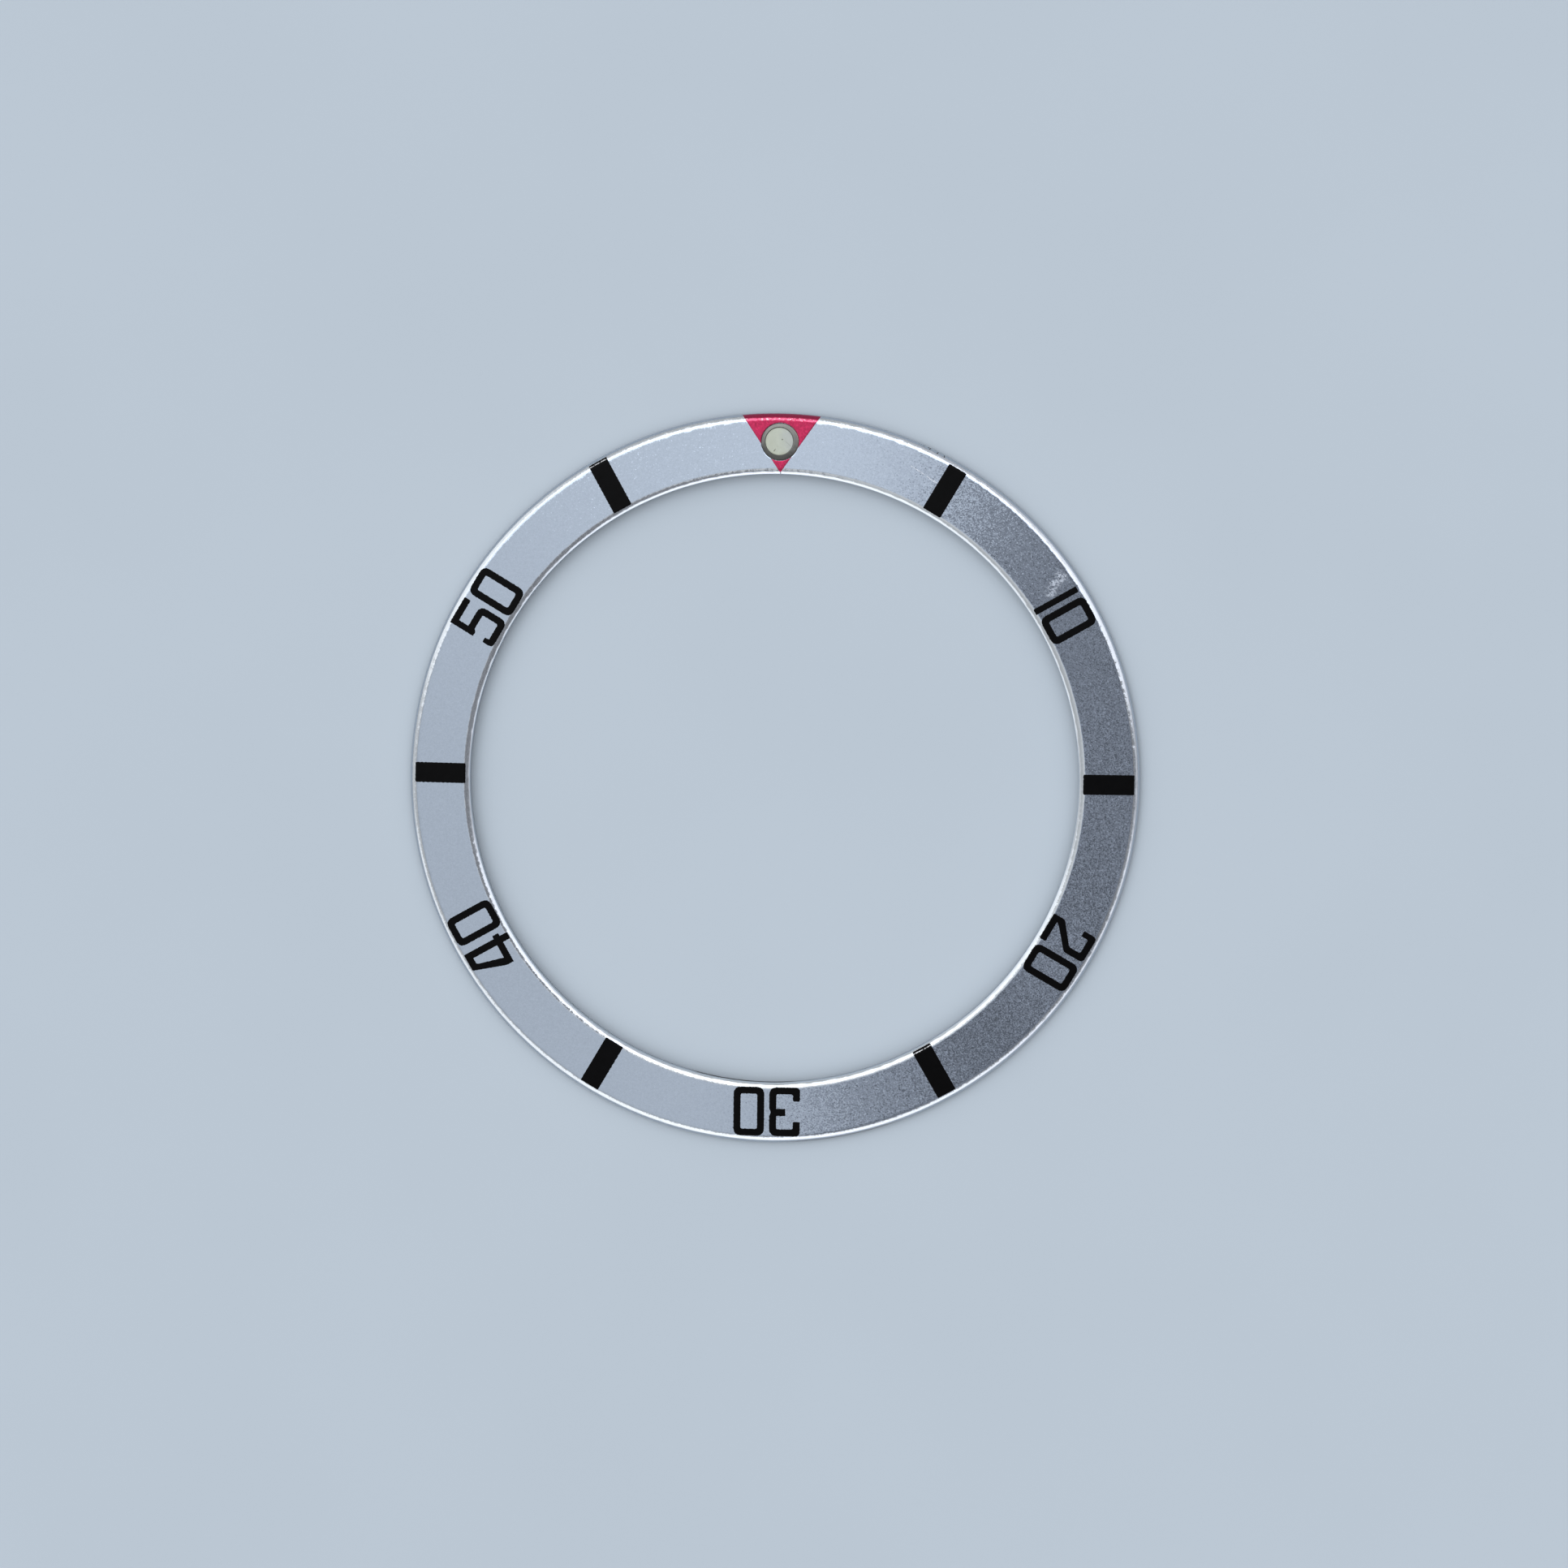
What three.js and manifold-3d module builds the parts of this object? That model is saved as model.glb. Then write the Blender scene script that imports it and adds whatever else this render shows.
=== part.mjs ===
// Watch bezel insert: a sloped aluminium ring that carries minute bars, numerals, a red triangle and
// a lume pip in a metal cup.
// Lengths are millimetres. +Z points up from the flat underside, +Y points at the triangle, and the
// origin is the centre of the underside.

import * as THREE from 'three';
import { mergeVertices } from 'three/addons/utils/BufferGeometryUtils.js';
import Module from 'manifold-3d';

const wasm = await Module();
wasm.setup();

// Ring
const boreDiameter = 31.7;
const bandWidth = 3.15;
const crestHeight = 1.0;
const faceSlopeDeg = 8;
const innerBevelWidth = 0.2;
const innerBevelDrop = 0.17;
const outerBevelWidth = 0.28;
const outerBevelDrop = 0.24;
const innerCornerRound = 0.13;
const outerCornerRound = 0.1;
const baseEdgeBreak = 0.05;

// Ink films, and how far the black ones were printed off the ring's own centre and direction
const inkClearance = 0.01;
const inkThickness = 0.03;
const inkEdgeMargin = 0.02;
const blackShiftAlongY = 0.022;
const blackTurnDeg = 0.07;

// Minute bars
const barWidth = 1.015;
const barCornerRound = 0.05;

// Digits, all drawn with one stroke
const digitWidth = 1.576;
const digitShortfall = 0.05;
const digitGap = 0.29;
const strokeWidth = 0.342;
const bowlRound = 0.34;
const hookRound = 0.24;
const insideRound = 0.08;
const bendRound = 0.12;
const strokeEndRound = 0.035;
const oneWidth = 0.3;
const oneFootDrop = 0.02;
const oneTopDrop = 0.12;
const waistNotchDepth = 0.08;

// Red triangle
const triangleHalfAngleDeg = 34.6;
const triangleTipLength = 0.585;
const triangleTipRound = 0.1;
const triangleShiftAlongX = 0.05;

// Lume pip: a cup that stands square to the sloped face, in a hole through the ring
const cupDiameter = 1.99;
const cupProud = 0.06;
const cupFootLift = 0.25;
const cupEdgeRound = 0.07;
const cupFootBreak = 0.06;
const cupFloorThickness = 0.16;
const cupWallThickness = 0.255;
const lipWidth = 0.07;
const lipDrop = 0.05;
const lumeCrown = 0.03;
const lumeSink = 0.01;
const lumeEdgeRound = 0.04;
const seatClearance = 0.02;
const pipPlaceShare = 0.53;

// Fineness
const ringSteps = 180;
const pipSteps = 48;
const profileRoundSteps = 2;
const outlineRoundSteps = 3;

// Lengths that follow from the sizes above
const boreRadius = boreDiameter / 2;
const outerRadius = boreRadius + bandWidth;
const faceInnerRadius = boreRadius + innerBevelWidth;
const faceOuterRadius = outerRadius - outerBevelWidth;
const faceSlope = THREE.MathUtils.degToRad(faceSlopeDeg);
const wallTopHeight = faceHeightAt(faceOuterRadius) - outerBevelDrop;
const printInnerRadius = faceInnerRadius + inkEdgeMargin;
const printLength = faceOuterRadius - inkEdgeMargin - printInnerRadius;
const digitHeight = printLength - digitShortfall;
const pipRadius = boreRadius + bandWidth * pipPlaceShare;
const cupRadius = cupDiameter / 2;
const holeRadius = cupRadius + seatClearance;
const wellRadius = cupRadius - cupWallThickness;
const lumeRadius = wellRadius - seatClearance;
const triangleTip = pipRadius - holeRadius - triangleTipLength;
const cutOverrun = crestHeight;

// Height of the sloped face at a distance from the axis, as if its corners were sharp.
function faceHeightAt(radius) {
  return crestHeight - (radius - faceInnerRadius) * Math.tan(faceSlope);
}

// Outlines and solids

// Draws a line through corners of [x, y, round]. A round is how far from its corner the curve starts,
// and it takes no more than half of the shorter side that meets there.
function drawRounded(path, corners) {
  const points = corners.map(([x, y]) => new THREE.Vector2(x, y));
  const count = points.length;
  points.forEach((corner, index) => {
    const before = points[(index + count - 1) % count].clone().sub(corner);
    const after = points[(index + 1) % count].clone().sub(corner);
    const round = Math.min(corners[index][2] ?? 0, before.length() / 2, after.length() / 2);
    const entry = corner.clone().addScaledVector(before.normalize(), round);
    const exit = corner.clone().addScaledVector(after.normalize(), round);
    if (index === 0) path.moveTo(entry.x, entry.y);
    else path.lineTo(entry.x, entry.y);
    if (round > 0) path.quadraticCurveTo(corner.x, corner.y, exit.x, exit.y);
  });
  return path;
}

function closedOutline(corners) {
  return drawRounded(new THREE.Shape(), corners).closePath();
}

function boxCorners(left, bottom, right, top, round) {
  return [[left, bottom, round], [right, bottom, round], [right, top, round], [left, top, round]];
}

// Turns a profile of (radius, height) points about +Z.
function turned(points, steps) {
  return new THREE.LatheGeometry(points, steps).rotateX(Math.PI / 2);
}

// A closed mesh as a solid that can be cut. Triangles that shrink to a line at an axis are left out.
function solidOf(geometry) {
  const bare = new THREE.BufferGeometry();
  bare.setAttribute('position', geometry.getAttribute('position'));
  bare.setIndex(geometry.index);
  const merged = mergeVertices(bare);
  const corners = Array.from(merged.index.array);
  const kept = [];
  for (let first = 0; first < corners.length; first += 3) {
    const [a, b, c] = corners.slice(first, first + 3);
    if (a !== b && b !== c && c !== a) kept.push(a, b, c);
  }
  return new wasm.Manifold(new wasm.Mesh({
    numProp: 3,
    vertProperties: new Float32Array(merged.getAttribute('position').array),
    triVerts: new Uint32Array(kept),
  }));
}

function geometryOf(solid) {
  const cut = solid.getMesh();
  const geometry = new THREE.BufferGeometry();
  geometry.setAttribute('position', new THREE.BufferAttribute(new Float32Array(cut.vertProperties), 3));
  geometry.setIndex(new THREE.BufferAttribute(new Uint32Array(cut.triVerts), 1));
  geometry.computeVertexNormals();
  return geometry;
}

function namedMesh(name, geometry, finish) {
  const mesh = new THREE.Mesh(geometry, new THREE.MeshStandardMaterial(finish));
  mesh.name = name;
  return mesh;
}

// Finishes
const satinAluminium = { color: 0xa9b4c4, roughness: 0.38, metalness: 1 };
const turnedSteel = { color: 0x6f706c, roughness: 0.4, metalness: 1 };
const agedLume = { color: 0xbcc3b6, roughness: 0.6, metalness: 0 };
const blackInk = { color: 0x0e0f11, roughness: 0.45, metalness: 0 };
const redLacquer = { color: 0xb22650, roughness: 0.35, metalness: 0.3 };

// Lume pip, drawn upright about its own axis with the face at height 0

function pipGroup() {
  const pip = new THREE.Group();
  pip.position.set(0, pipRadius, faceHeightAt(pipRadius));
  pip.rotation.x = -faceSlope;
  pip.add(pipCup(), lumeFill());
  pip.updateMatrix();
  return pip;
}

function cupFootHeight() {
  return (cupFootLift - faceHeightAt(pipRadius)) / Math.cos(faceSlope);
}

function pipCup() {
  const foot = cupFootHeight();
  const floor = foot + cupFloorThickness;
  const profile = drawRounded(new THREE.Path(), [
    [0, foot],
    [cupRadius, foot, cupFootBreak],
    [cupRadius, cupProud, cupEdgeRound],
    [wellRadius + lipWidth, cupProud, lipDrop],
    [wellRadius, cupProud - lipDrop],
    [wellRadius, floor],
    [0, floor],
  ]);
  return namedMesh('pip_cup', turned(profile.getPoints(profileRoundSteps), pipSteps), turnedSteel);
}

function lumeFill() {
  const base = cupFootHeight() + cupFloorThickness + seatClearance;
  const edge = cupProud - lipDrop - lumeSink;
  const profile = drawRounded(new THREE.Path(), [
    [0, base],
    [lumeRadius, base],
    [lumeRadius, edge, lumeEdgeRound],
    [0, edge + lumeCrown],
  ]);
  return namedMesh('lume_fill', turned(profile.getPoints(profileRoundSteps), pipSteps), agedLume);
}

// The hole that the cup is pressed into, which also parts the red ink around it.
function pipHole(pip) {
  const drill = new THREE.CylinderGeometry(holeRadius, holeRadius, (crestHeight + cutOverrun) * 2, pipSteps);
  return solidOf(drill.rotateX(Math.PI / 2).applyMatrix4(pip.matrix));
}

// Ring

// The top in section, from the foot of the outer bevel over the face to the foot of the inner bevel.
function topCorners() {
  return [
    [outerRadius, wallTopHeight],
    [faceOuterRadius, faceHeightAt(faceOuterRadius), outerCornerRound],
    [faceInnerRadius, crestHeight, innerCornerRound],
    [boreRadius, crestHeight - innerBevelDrop],
  ];
}

function insertRing(hole) {
  const profile = closedOutline([
    [boreRadius + baseEdgeBreak, 0],
    [outerRadius - baseEdgeBreak, 0],
    [outerRadius, baseEdgeBreak],
    ...topCorners(),
    [boreRadius, baseEdgeBreak],
  ]);
  const ring = solidOf(turned(profile.getPoints(profileRoundSteps), ringSteps));
  return namedMesh('insert_ring', geometryOf(ring.subtract(hole)), satinAluminium);
}

// A thin skin over the whole top, out of which the marks are cut. It has the ring's own facets, lifted
// by the clearance.
function inkSkin() {
  const top = drawRounded(new THREE.Path(), topCorners()).getPoints(profileRoundSteps);
  const lifted = (height) => top.map((point) => new THREE.Vector2(point.x, point.y + height));
  const over = lifted(inkClearance + inkThickness);
  const under = lifted(inkClearance).reverse();
  return solidOf(turned([...over, ...under, over[0].clone()], ringSteps));
}

// The part of the skin that lies over an outline.
function inkFilm(skin, outline, place) {
  const stamp = new THREE.ExtrudeGeometry(outline, {
    depth: crestHeight + cutOverrun,
    bevelEnabled: false,
    curveSegments: outlineRoundSteps,
  });
  return solidOf(stamp.applyMatrix4(place)).intersect(skin);
}

// Digits, each in a frame whose x runs clockwise, whose y runs outwards, and whose corner 0, 0 is the
// foot of its left side

const zeroWidth = digitWidth;

function zeroOutline() {
  const outline = closedOutline(boxCorners(0, 0, zeroWidth, digitHeight, bowlRound));
  const right = zeroWidth - strokeWidth;
  const top = digitHeight - strokeWidth;
  outline.holes.push(closedOutline(boxCorners(strokeWidth, strokeWidth, right, top, insideRound)));
  return outline;
}

function oneOutline() {
  return closedOutline(boxCorners(0, -oneFootDrop, oneWidth, digitHeight - oneTopDrop, strokeEndRound));
}

const twoWidthShare = 0.925;
const twoWidth = digitWidth * twoWidthShare;
const twoShares = {
  hookFoot: 0.71, hookWidth: 0.85, bendOutside: 0.565, bendInside: 0.605, footBendOutside: 0.245,
  footBendInside: 0.2, footBendSide: 0.25,
};

function twoOutline() {
  const tall = digitHeight;
  const inside = twoWidth - strokeWidth;
  const hook = strokeWidth * twoShares.hookWidth;
  return closedOutline([
    [0, tall * twoShares.hookFoot, strokeEndRound],
    [hook, tall * twoShares.hookFoot, strokeEndRound],
    [hook, tall - strokeWidth, insideRound],
    [inside, tall - strokeWidth, insideRound],
    [inside, tall * twoShares.bendInside, insideRound],
    [0, tall * twoShares.footBendOutside, bendRound],
    [0, 0, strokeEndRound],
    [twoWidth, 0, strokeEndRound],
    [twoWidth, strokeWidth, strokeEndRound],
    [hook, strokeWidth],
    [digitWidth * twoShares.footBendSide, tall * twoShares.footBendInside, strokeEndRound],
    [twoWidth, tall * twoShares.bendOutside, bendRound],
    [twoWidth, tall, hookRound],
    [0, tall, hookRound],
  ]);
}

const threeWidth = digitWidth;
const threeShares = {
  upperHookFoot: 0.71, lowerHookTop: 0.277, stubTop: 0.583, stubFoot: 0.445, stubReach: 0.3,
  notch: 0.515, notchReach: 0.08,
};

function threeOutline() {
  const tall = digitHeight;
  const inside = threeWidth - strokeWidth;
  const stubEnd = inside - threeWidth * threeShares.stubReach;
  return closedOutline([
    [0, 0, hookRound],
    [threeWidth, 0, bowlRound],
    [threeWidth, tall * (threeShares.notch - threeShares.notchReach)],
    [threeWidth - waistNotchDepth, tall * threeShares.notch, strokeEndRound],
    [threeWidth, tall * (threeShares.notch + threeShares.notchReach)],
    [threeWidth, tall, bowlRound],
    [0, tall, hookRound],
    [0, tall * threeShares.upperHookFoot, strokeEndRound],
    [strokeWidth, tall * threeShares.upperHookFoot, strokeEndRound],
    [strokeWidth, tall - strokeWidth, insideRound],
    [inside, tall - strokeWidth, insideRound],
    [inside, tall * threeShares.stubTop],
    [stubEnd, tall * threeShares.stubTop, strokeEndRound],
    [stubEnd, tall * threeShares.stubFoot, strokeEndRound],
    [inside, tall * threeShares.stubFoot],
    [inside, strokeWidth, insideRound],
    [strokeWidth, strokeWidth, insideRound],
    [strokeWidth, tall * threeShares.lowerHookTop, strokeEndRound],
    [0, tall * threeShares.lowerHookTop, strokeEndRound],
  ]);
}

const fourWidthShare = 1.054;
const fourWidth = digitWidth * fourWidthShare;
const fourShares = {
  stemRight: 0.946, barFoot: 0.165, leftBend: 0.32, topLeft: 0.37, insideLeft: 0.247, insideTopLeft: 0.49,
};

function fourOutline() {
  const tall = digitHeight;
  const stemRight = digitWidth * fourShares.stemRight;
  const stemLeft = stemRight - strokeWidth;
  const barFoot = tall * fourShares.barFoot;
  const barTop = barFoot + strokeWidth;
  const outline = closedOutline([
    [0, barFoot, strokeEndRound],
    [stemLeft, barFoot, strokeEndRound],
    [stemLeft, 0, strokeEndRound],
    [stemRight, 0, strokeEndRound],
    [stemRight, barFoot, strokeEndRound],
    [fourWidth, barFoot, strokeEndRound],
    [fourWidth, barTop, strokeEndRound],
    [stemRight, barTop],
    [stemRight, tall, strokeEndRound],
    [digitWidth * fourShares.topLeft, tall, strokeEndRound],
    [0, tall * fourShares.leftBend, bendRound],
  ]);
  outline.holes.push(closedOutline([
    [digitWidth * fourShares.insideLeft, barTop],
    [stemLeft, barTop],
    [stemLeft, tall - strokeWidth, strokeEndRound],
    [digitWidth * fourShares.insideTopLeft, tall - strokeWidth, insideRound],
  ]));
  return outline;
}

const fiveWidthShare = 0.97;
const fiveWidth = digitWidth * fiveWidthShare;
const fiveShares = {
  topBarReach: 0.945, bowlTop: 0.637, hookTop: 0.224, hookWidth: 0.74, spurFoot: 0.459, stemWidth: 0.9,
};

function fiveOutline() {
  const tall = digitHeight;
  const topBarEnd = digitWidth * fiveShares.topBarReach;
  const stem = strokeWidth * fiveShares.stemWidth;
  const hook = strokeWidth * fiveShares.hookWidth;
  const inside = fiveWidth - strokeWidth;
  const bowlTop = tall * fiveShares.bowlTop;
  return closedOutline([
    [0, 0, hookRound],
    [fiveWidth, 0, bowlRound],
    [fiveWidth, bowlTop, bowlRound],
    [stem, bowlTop],
    [stem, tall - strokeWidth, strokeEndRound],
    [topBarEnd, tall - strokeWidth, strokeEndRound],
    [topBarEnd, tall, strokeEndRound],
    [0, tall, strokeEndRound],
    [0, tall * fiveShares.spurFoot, strokeEndRound],
    [hook, tall * fiveShares.spurFoot, strokeEndRound],
    [strokeWidth, bowlTop - strokeWidth, strokeEndRound],
    [inside, bowlTop - strokeWidth, insideRound],
    [inside, strokeWidth, insideRound],
    [hook, strokeWidth, strokeEndRound],
    [hook, tall * fiveShares.hookTop, strokeEndRound],
    [0, tall * fiveShares.hookTop, strokeEndRound],
  ]);
}

const digits = {
  zero: { width: zeroWidth, outline: zeroOutline },
  one: { width: oneWidth, outline: oneOutline },
  two: { width: twoWidth, outline: twoOutline },
  three: { width: threeWidth, outline: threeOutline },
  four: { width: fourWidth, outline: fourOutline },
  five: { width: fiveWidth, outline: fiveOutline },
};

// Black marks by minute, and how far each lies clockwise of its place, as a share of a stroke
const barMinutes = [5, 15, 25, 35, 45, 55];
const firstDigits = { 10: 'one', 20: 'two', 30: 'three', 40: 'four', 50: 'five' };
const sideShares = {
  5: -0.32, 10: -0.29, 15: -0.13, 20: 0.28, 25: 0.15, 30: 0.19, 35: 0.08, 40: 0.03, 45: 0, 50: 0, 55: -0.12,
};

// Where an outline's own frame lies when it starts at left and faces a minute.
function blackPlace(minute, left) {
  const shift = new THREE.Matrix4().makeTranslation(0, blackShiftAlongY, 0);
  const turn = new THREE.Matrix4().makeRotationZ(THREE.MathUtils.degToRad(blackTurnDeg - minute * 6));
  const side = left + strokeWidth * sideShares[minute];
  const reach = new THREE.Matrix4().makeTranslation(side, printInnerRadius, 0);
  return shift.multiply(turn).multiply(reach);
}

function minuteBar(skin, minute) {
  const outline = closedOutline(boxCorners(0, 0, barWidth, printLength, barCornerRound));
  const film = inkFilm(skin, outline, blackPlace(minute, -barWidth / 2));
  return namedMesh(`bar_${String(minute).padStart(2, '0')}`, geometryOf(film), blackInk);
}

function numeralMeshes(skin, minute) {
  const names = [firstDigits[minute], 'zero'];
  const total = digits[names[0]].width + digitGap + zeroWidth;
  const lefts = [-total / 2, total / 2 - zeroWidth];
  return names.map((name, index) => {
    const film = inkFilm(skin, digits[name].outline(), blackPlace(minute, lefts[index]));
    return namedMesh(`numeral_${minute}_${name}`, geometryOf(film), blackInk);
  });
}

// Red triangle: the cup parts it into a head and a tip, which meet where its sides pass nearest the
// cup's axis. Its point reaches a set length past the cup's hole.
function triangleMeshes(skin, hole) {
  const halfAngle = THREE.MathUtils.degToRad(triangleHalfAngleDeg);
  const parting = triangleTip + (pipRadius - triangleTip) * Math.cos(halfAngle) ** 2;
  const end = outerRadius + cutOverrun;
  const halfWidthAt = (radius) => (radius - triangleTip) * Math.tan(halfAngle);
  const partingHalf = halfWidthAt(parting);
  const endHalf = halfWidthAt(end);
  const shift = new THREE.Matrix4().makeTranslation(triangleShiftAlongX, 0, 0);
  const outlines = {
    red_triangle_head: [[-partingHalf, parting], [partingHalf, parting], [endHalf, end], [-endHalf, end]],
    red_triangle_tip: [[0, triangleTip, triangleTipRound], [partingHalf, parting], [-partingHalf, parting]],
  };
  return Object.entries(outlines).map(([name, corners]) => {
    const film = inkFilm(skin, closedOutline(corners), shift).subtract(hole);
    return namedMesh(name, geometryOf(film), redLacquer);
  });
}

// Assembly

function bezelInsert() {
  const insert = new THREE.Group();
  const pip = pipGroup();
  const hole = pipHole(pip);
  const skin = inkSkin();
  insert.add(insertRing(hole), pip, ...triangleMeshes(skin, hole));
  barMinutes.forEach((minute) => insert.add(minuteBar(skin, minute)));
  Object.keys(firstDigits).forEach((minute) => insert.add(...numeralMeshes(skin, minute)));
  return insert;
}

export default bezelInsert();
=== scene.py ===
"""Looks of a watch bezel insert: a sloped aluminium ring with printed marks, a red triangle and a lume pip.

Sizes in the classes are millimetres and are made metres when a mesh is written. +Z points up from the
underside, +Y points at the triangle, and azimuths run clockwise from +Y, as minutes do.
"""

from __future__ import annotations

import logging
import math
from abc import ABC, abstractmethod
from dataclasses import dataclass, field
from enum import Enum
from typing import Callable, Sequence

import bpy
import numpy as np
from mathutils import Matrix
from mathutils.geometry import delaunay_2d_cdt


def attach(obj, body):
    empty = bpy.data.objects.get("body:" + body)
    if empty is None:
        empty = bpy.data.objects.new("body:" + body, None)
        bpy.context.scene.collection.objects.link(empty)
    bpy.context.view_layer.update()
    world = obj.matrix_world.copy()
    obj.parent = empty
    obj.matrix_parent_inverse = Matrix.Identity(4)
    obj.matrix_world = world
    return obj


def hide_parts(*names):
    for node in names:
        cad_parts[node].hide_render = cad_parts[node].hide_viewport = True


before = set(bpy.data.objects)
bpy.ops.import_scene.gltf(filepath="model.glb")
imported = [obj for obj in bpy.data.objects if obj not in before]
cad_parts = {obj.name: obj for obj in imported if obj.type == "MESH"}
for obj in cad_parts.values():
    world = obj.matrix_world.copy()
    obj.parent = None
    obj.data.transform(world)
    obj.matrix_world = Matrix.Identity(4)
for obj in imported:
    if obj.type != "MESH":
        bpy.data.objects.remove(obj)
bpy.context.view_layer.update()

MM = 0.001
BODY = "root"
LOG = logging.getLogger("bezel_insert")

TURN = 2 * math.pi
MIDDLE_RADIUS = 17.4

Pair = tuple[float, float]
Triple = tuple[float, float, float]
Four = tuple[float, float, float, float]
Colour = Triple
Corner = tuple[float, ...]


# Meshes


def signed_volume(points: np.ndarray, triangles: np.ndarray) -> float:
    """Volume inside a closed mesh, below zero when its faces point inwards.

    Each triangle and the origin span a tetrahedron of a sixth of a . (b x c).
    """
    a, b, c = (points[triangles[:, k]] for k in range(3))
    return float(np.einsum("ij,ij->i", a, np.cross(b, c)).sum() / 6.0)


def new_object(name: str, data: bpy.types.ID) -> bpy.types.Object:
    """A new object of some data, at the origin, linked to the scene.

    Args:
        name: Name of the object.
        data: Its mesh, lamp or camera.

    Returns:
        The object.
    """
    made = bpy.data.objects.new(name, data)
    bpy.context.scene.collection.objects.link(made)
    return made


def write_mesh(name: str, points: np.ndarray, quads: np.ndarray, triangles: np.ndarray) -> bpy.types.Object:
    """Puts a closed surface into a new smooth mesh object with its faces outwards.

    Args:
        name: Name of the object and its mesh.
        points: Vertex places in millimetres, one row each.
        quads: Vertex numbers of the four-sided faces, one row each, or no rows.
        triangles: Vertex numbers of the three-sided faces, one row each, or no rows.

    Returns:
        The object, at the origin, linked to the scene.
    """
    quads = np.asarray(quads, int).reshape(-1, 4)
    triangles = np.asarray(triangles, int).reshape(-1, 3)
    used, flat = np.unique(np.concatenate([quads.ravel(), triangles.ravel()]), return_inverse=True)
    points = points[used]
    quads, triangles = flat[: quads.size].reshape(-1, 4), flat[quads.size :].reshape(-1, 3)
    halves = np.concatenate([triangles, quads[:, [0, 1, 2]], quads[:, [0, 2, 3]]])
    if signed_volume(points, halves) < 0:
        quads, triangles = quads[:, ::-1], triangles[:, ::-1]
    corners = np.concatenate([quads.ravel(), triangles.ravel()]).astype(np.int32)
    totals = np.concatenate([np.full(len(quads), 4), np.full(len(triangles), 3)]).astype(np.int32)
    starts = (np.cumsum(totals) - totals).astype(np.int32)
    mesh = bpy.data.meshes.new(name)
    mesh.vertices.add(len(points))
    mesh.vertices.foreach_set("co", (points * MM).astype(np.float32).ravel())
    mesh.loops.add(len(corners))
    mesh.loops.foreach_set("vertex_index", corners)
    mesh.polygons.add(len(totals))
    mesh.polygons.foreach_set("loop_start", starts)
    mesh.polygons.foreach_set("loop_total", totals)
    mesh.polygons.foreach_set("use_smooth", np.ones(len(totals), bool))
    mesh.update(calc_edges=True)
    mesh.validate()
    return new_object(name, mesh)


def polar(radius: np.ndarray | float, azimuth: np.ndarray) -> np.ndarray:
    """Points in plan by radius and azimuth: (r sin a, r cos a)."""
    return np.stack([radius * np.sin(azimuth), radius * np.cos(azimuth)], axis=-1)


def quadratic(start: np.ndarray, corner: np.ndarray, end: np.ndarray, steps: int) -> np.ndarray:
    """Points of the curve s (1 - t)^2 + 2 c t (1 - t) + e t^2, or of several whose ends are given in rows.

    Args:
        start: Where the curve starts.
        corner: The corner it is drawn towards.
        end: Where it ends.
        steps: Number of pieces.

    Returns:
        The points, along the last axis but one.
    """
    t = np.linspace(0, 1, steps + 1)[:, None]
    start, corner, end = (place[..., None, :] for place in (start, corner, end))
    return start * (1 - t) ** 2 + 2 * corner * t * (1 - t) + end * t**2


def strip_quads(loops: np.ndarray) -> np.ndarray:
    """Quads that join each closed loop of vertex numbers to the next one, both turned the same way.

    Args:
        loops: Vertex numbers, one row for each loop.

    Returns:
        One row of four vertex numbers for each cell between neighbouring rows.
    """
    here, there = loops[:-1], loops[1:]
    ahead_here, ahead_there = np.roll(here, -1, axis=1), np.roll(there, -1, axis=1)
    return np.stack([here, ahead_here, ahead_there, there], axis=-1).reshape(-1, 4)


def smooth_wander(
    along: np.ndarray, length: float, waves: Pair, seed: int, count: int = 12
) -> np.ndarray:
    """A smooth random line round a closed loop, about 1 high, that meets itself at the ends.

    It is the sum of sines whose whole numbers of waves and phases are drawn at random.

    Args:
        along: Distance along the loop of each wanted value.
        length: Length of the loop.
        waves: Shortest and longest wave.
        seed: Seed of the draw.
        count: Number of sines.

    Returns:
        One value for each distance, with a mean square of 1.
    """
    draw = np.random.default_rng(seed)
    lengths = np.exp(draw.uniform(math.log(waves[0]), math.log(waves[1]), count))
    cycles = np.maximum(1, np.round(length / lengths))
    phases = draw.uniform(0, TURN, count)
    angles = TURN * along[..., None] / length * cycles + phases
    return np.sin(angles).sum(-1) * math.sqrt(2.0 / count)


# Ring


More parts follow.
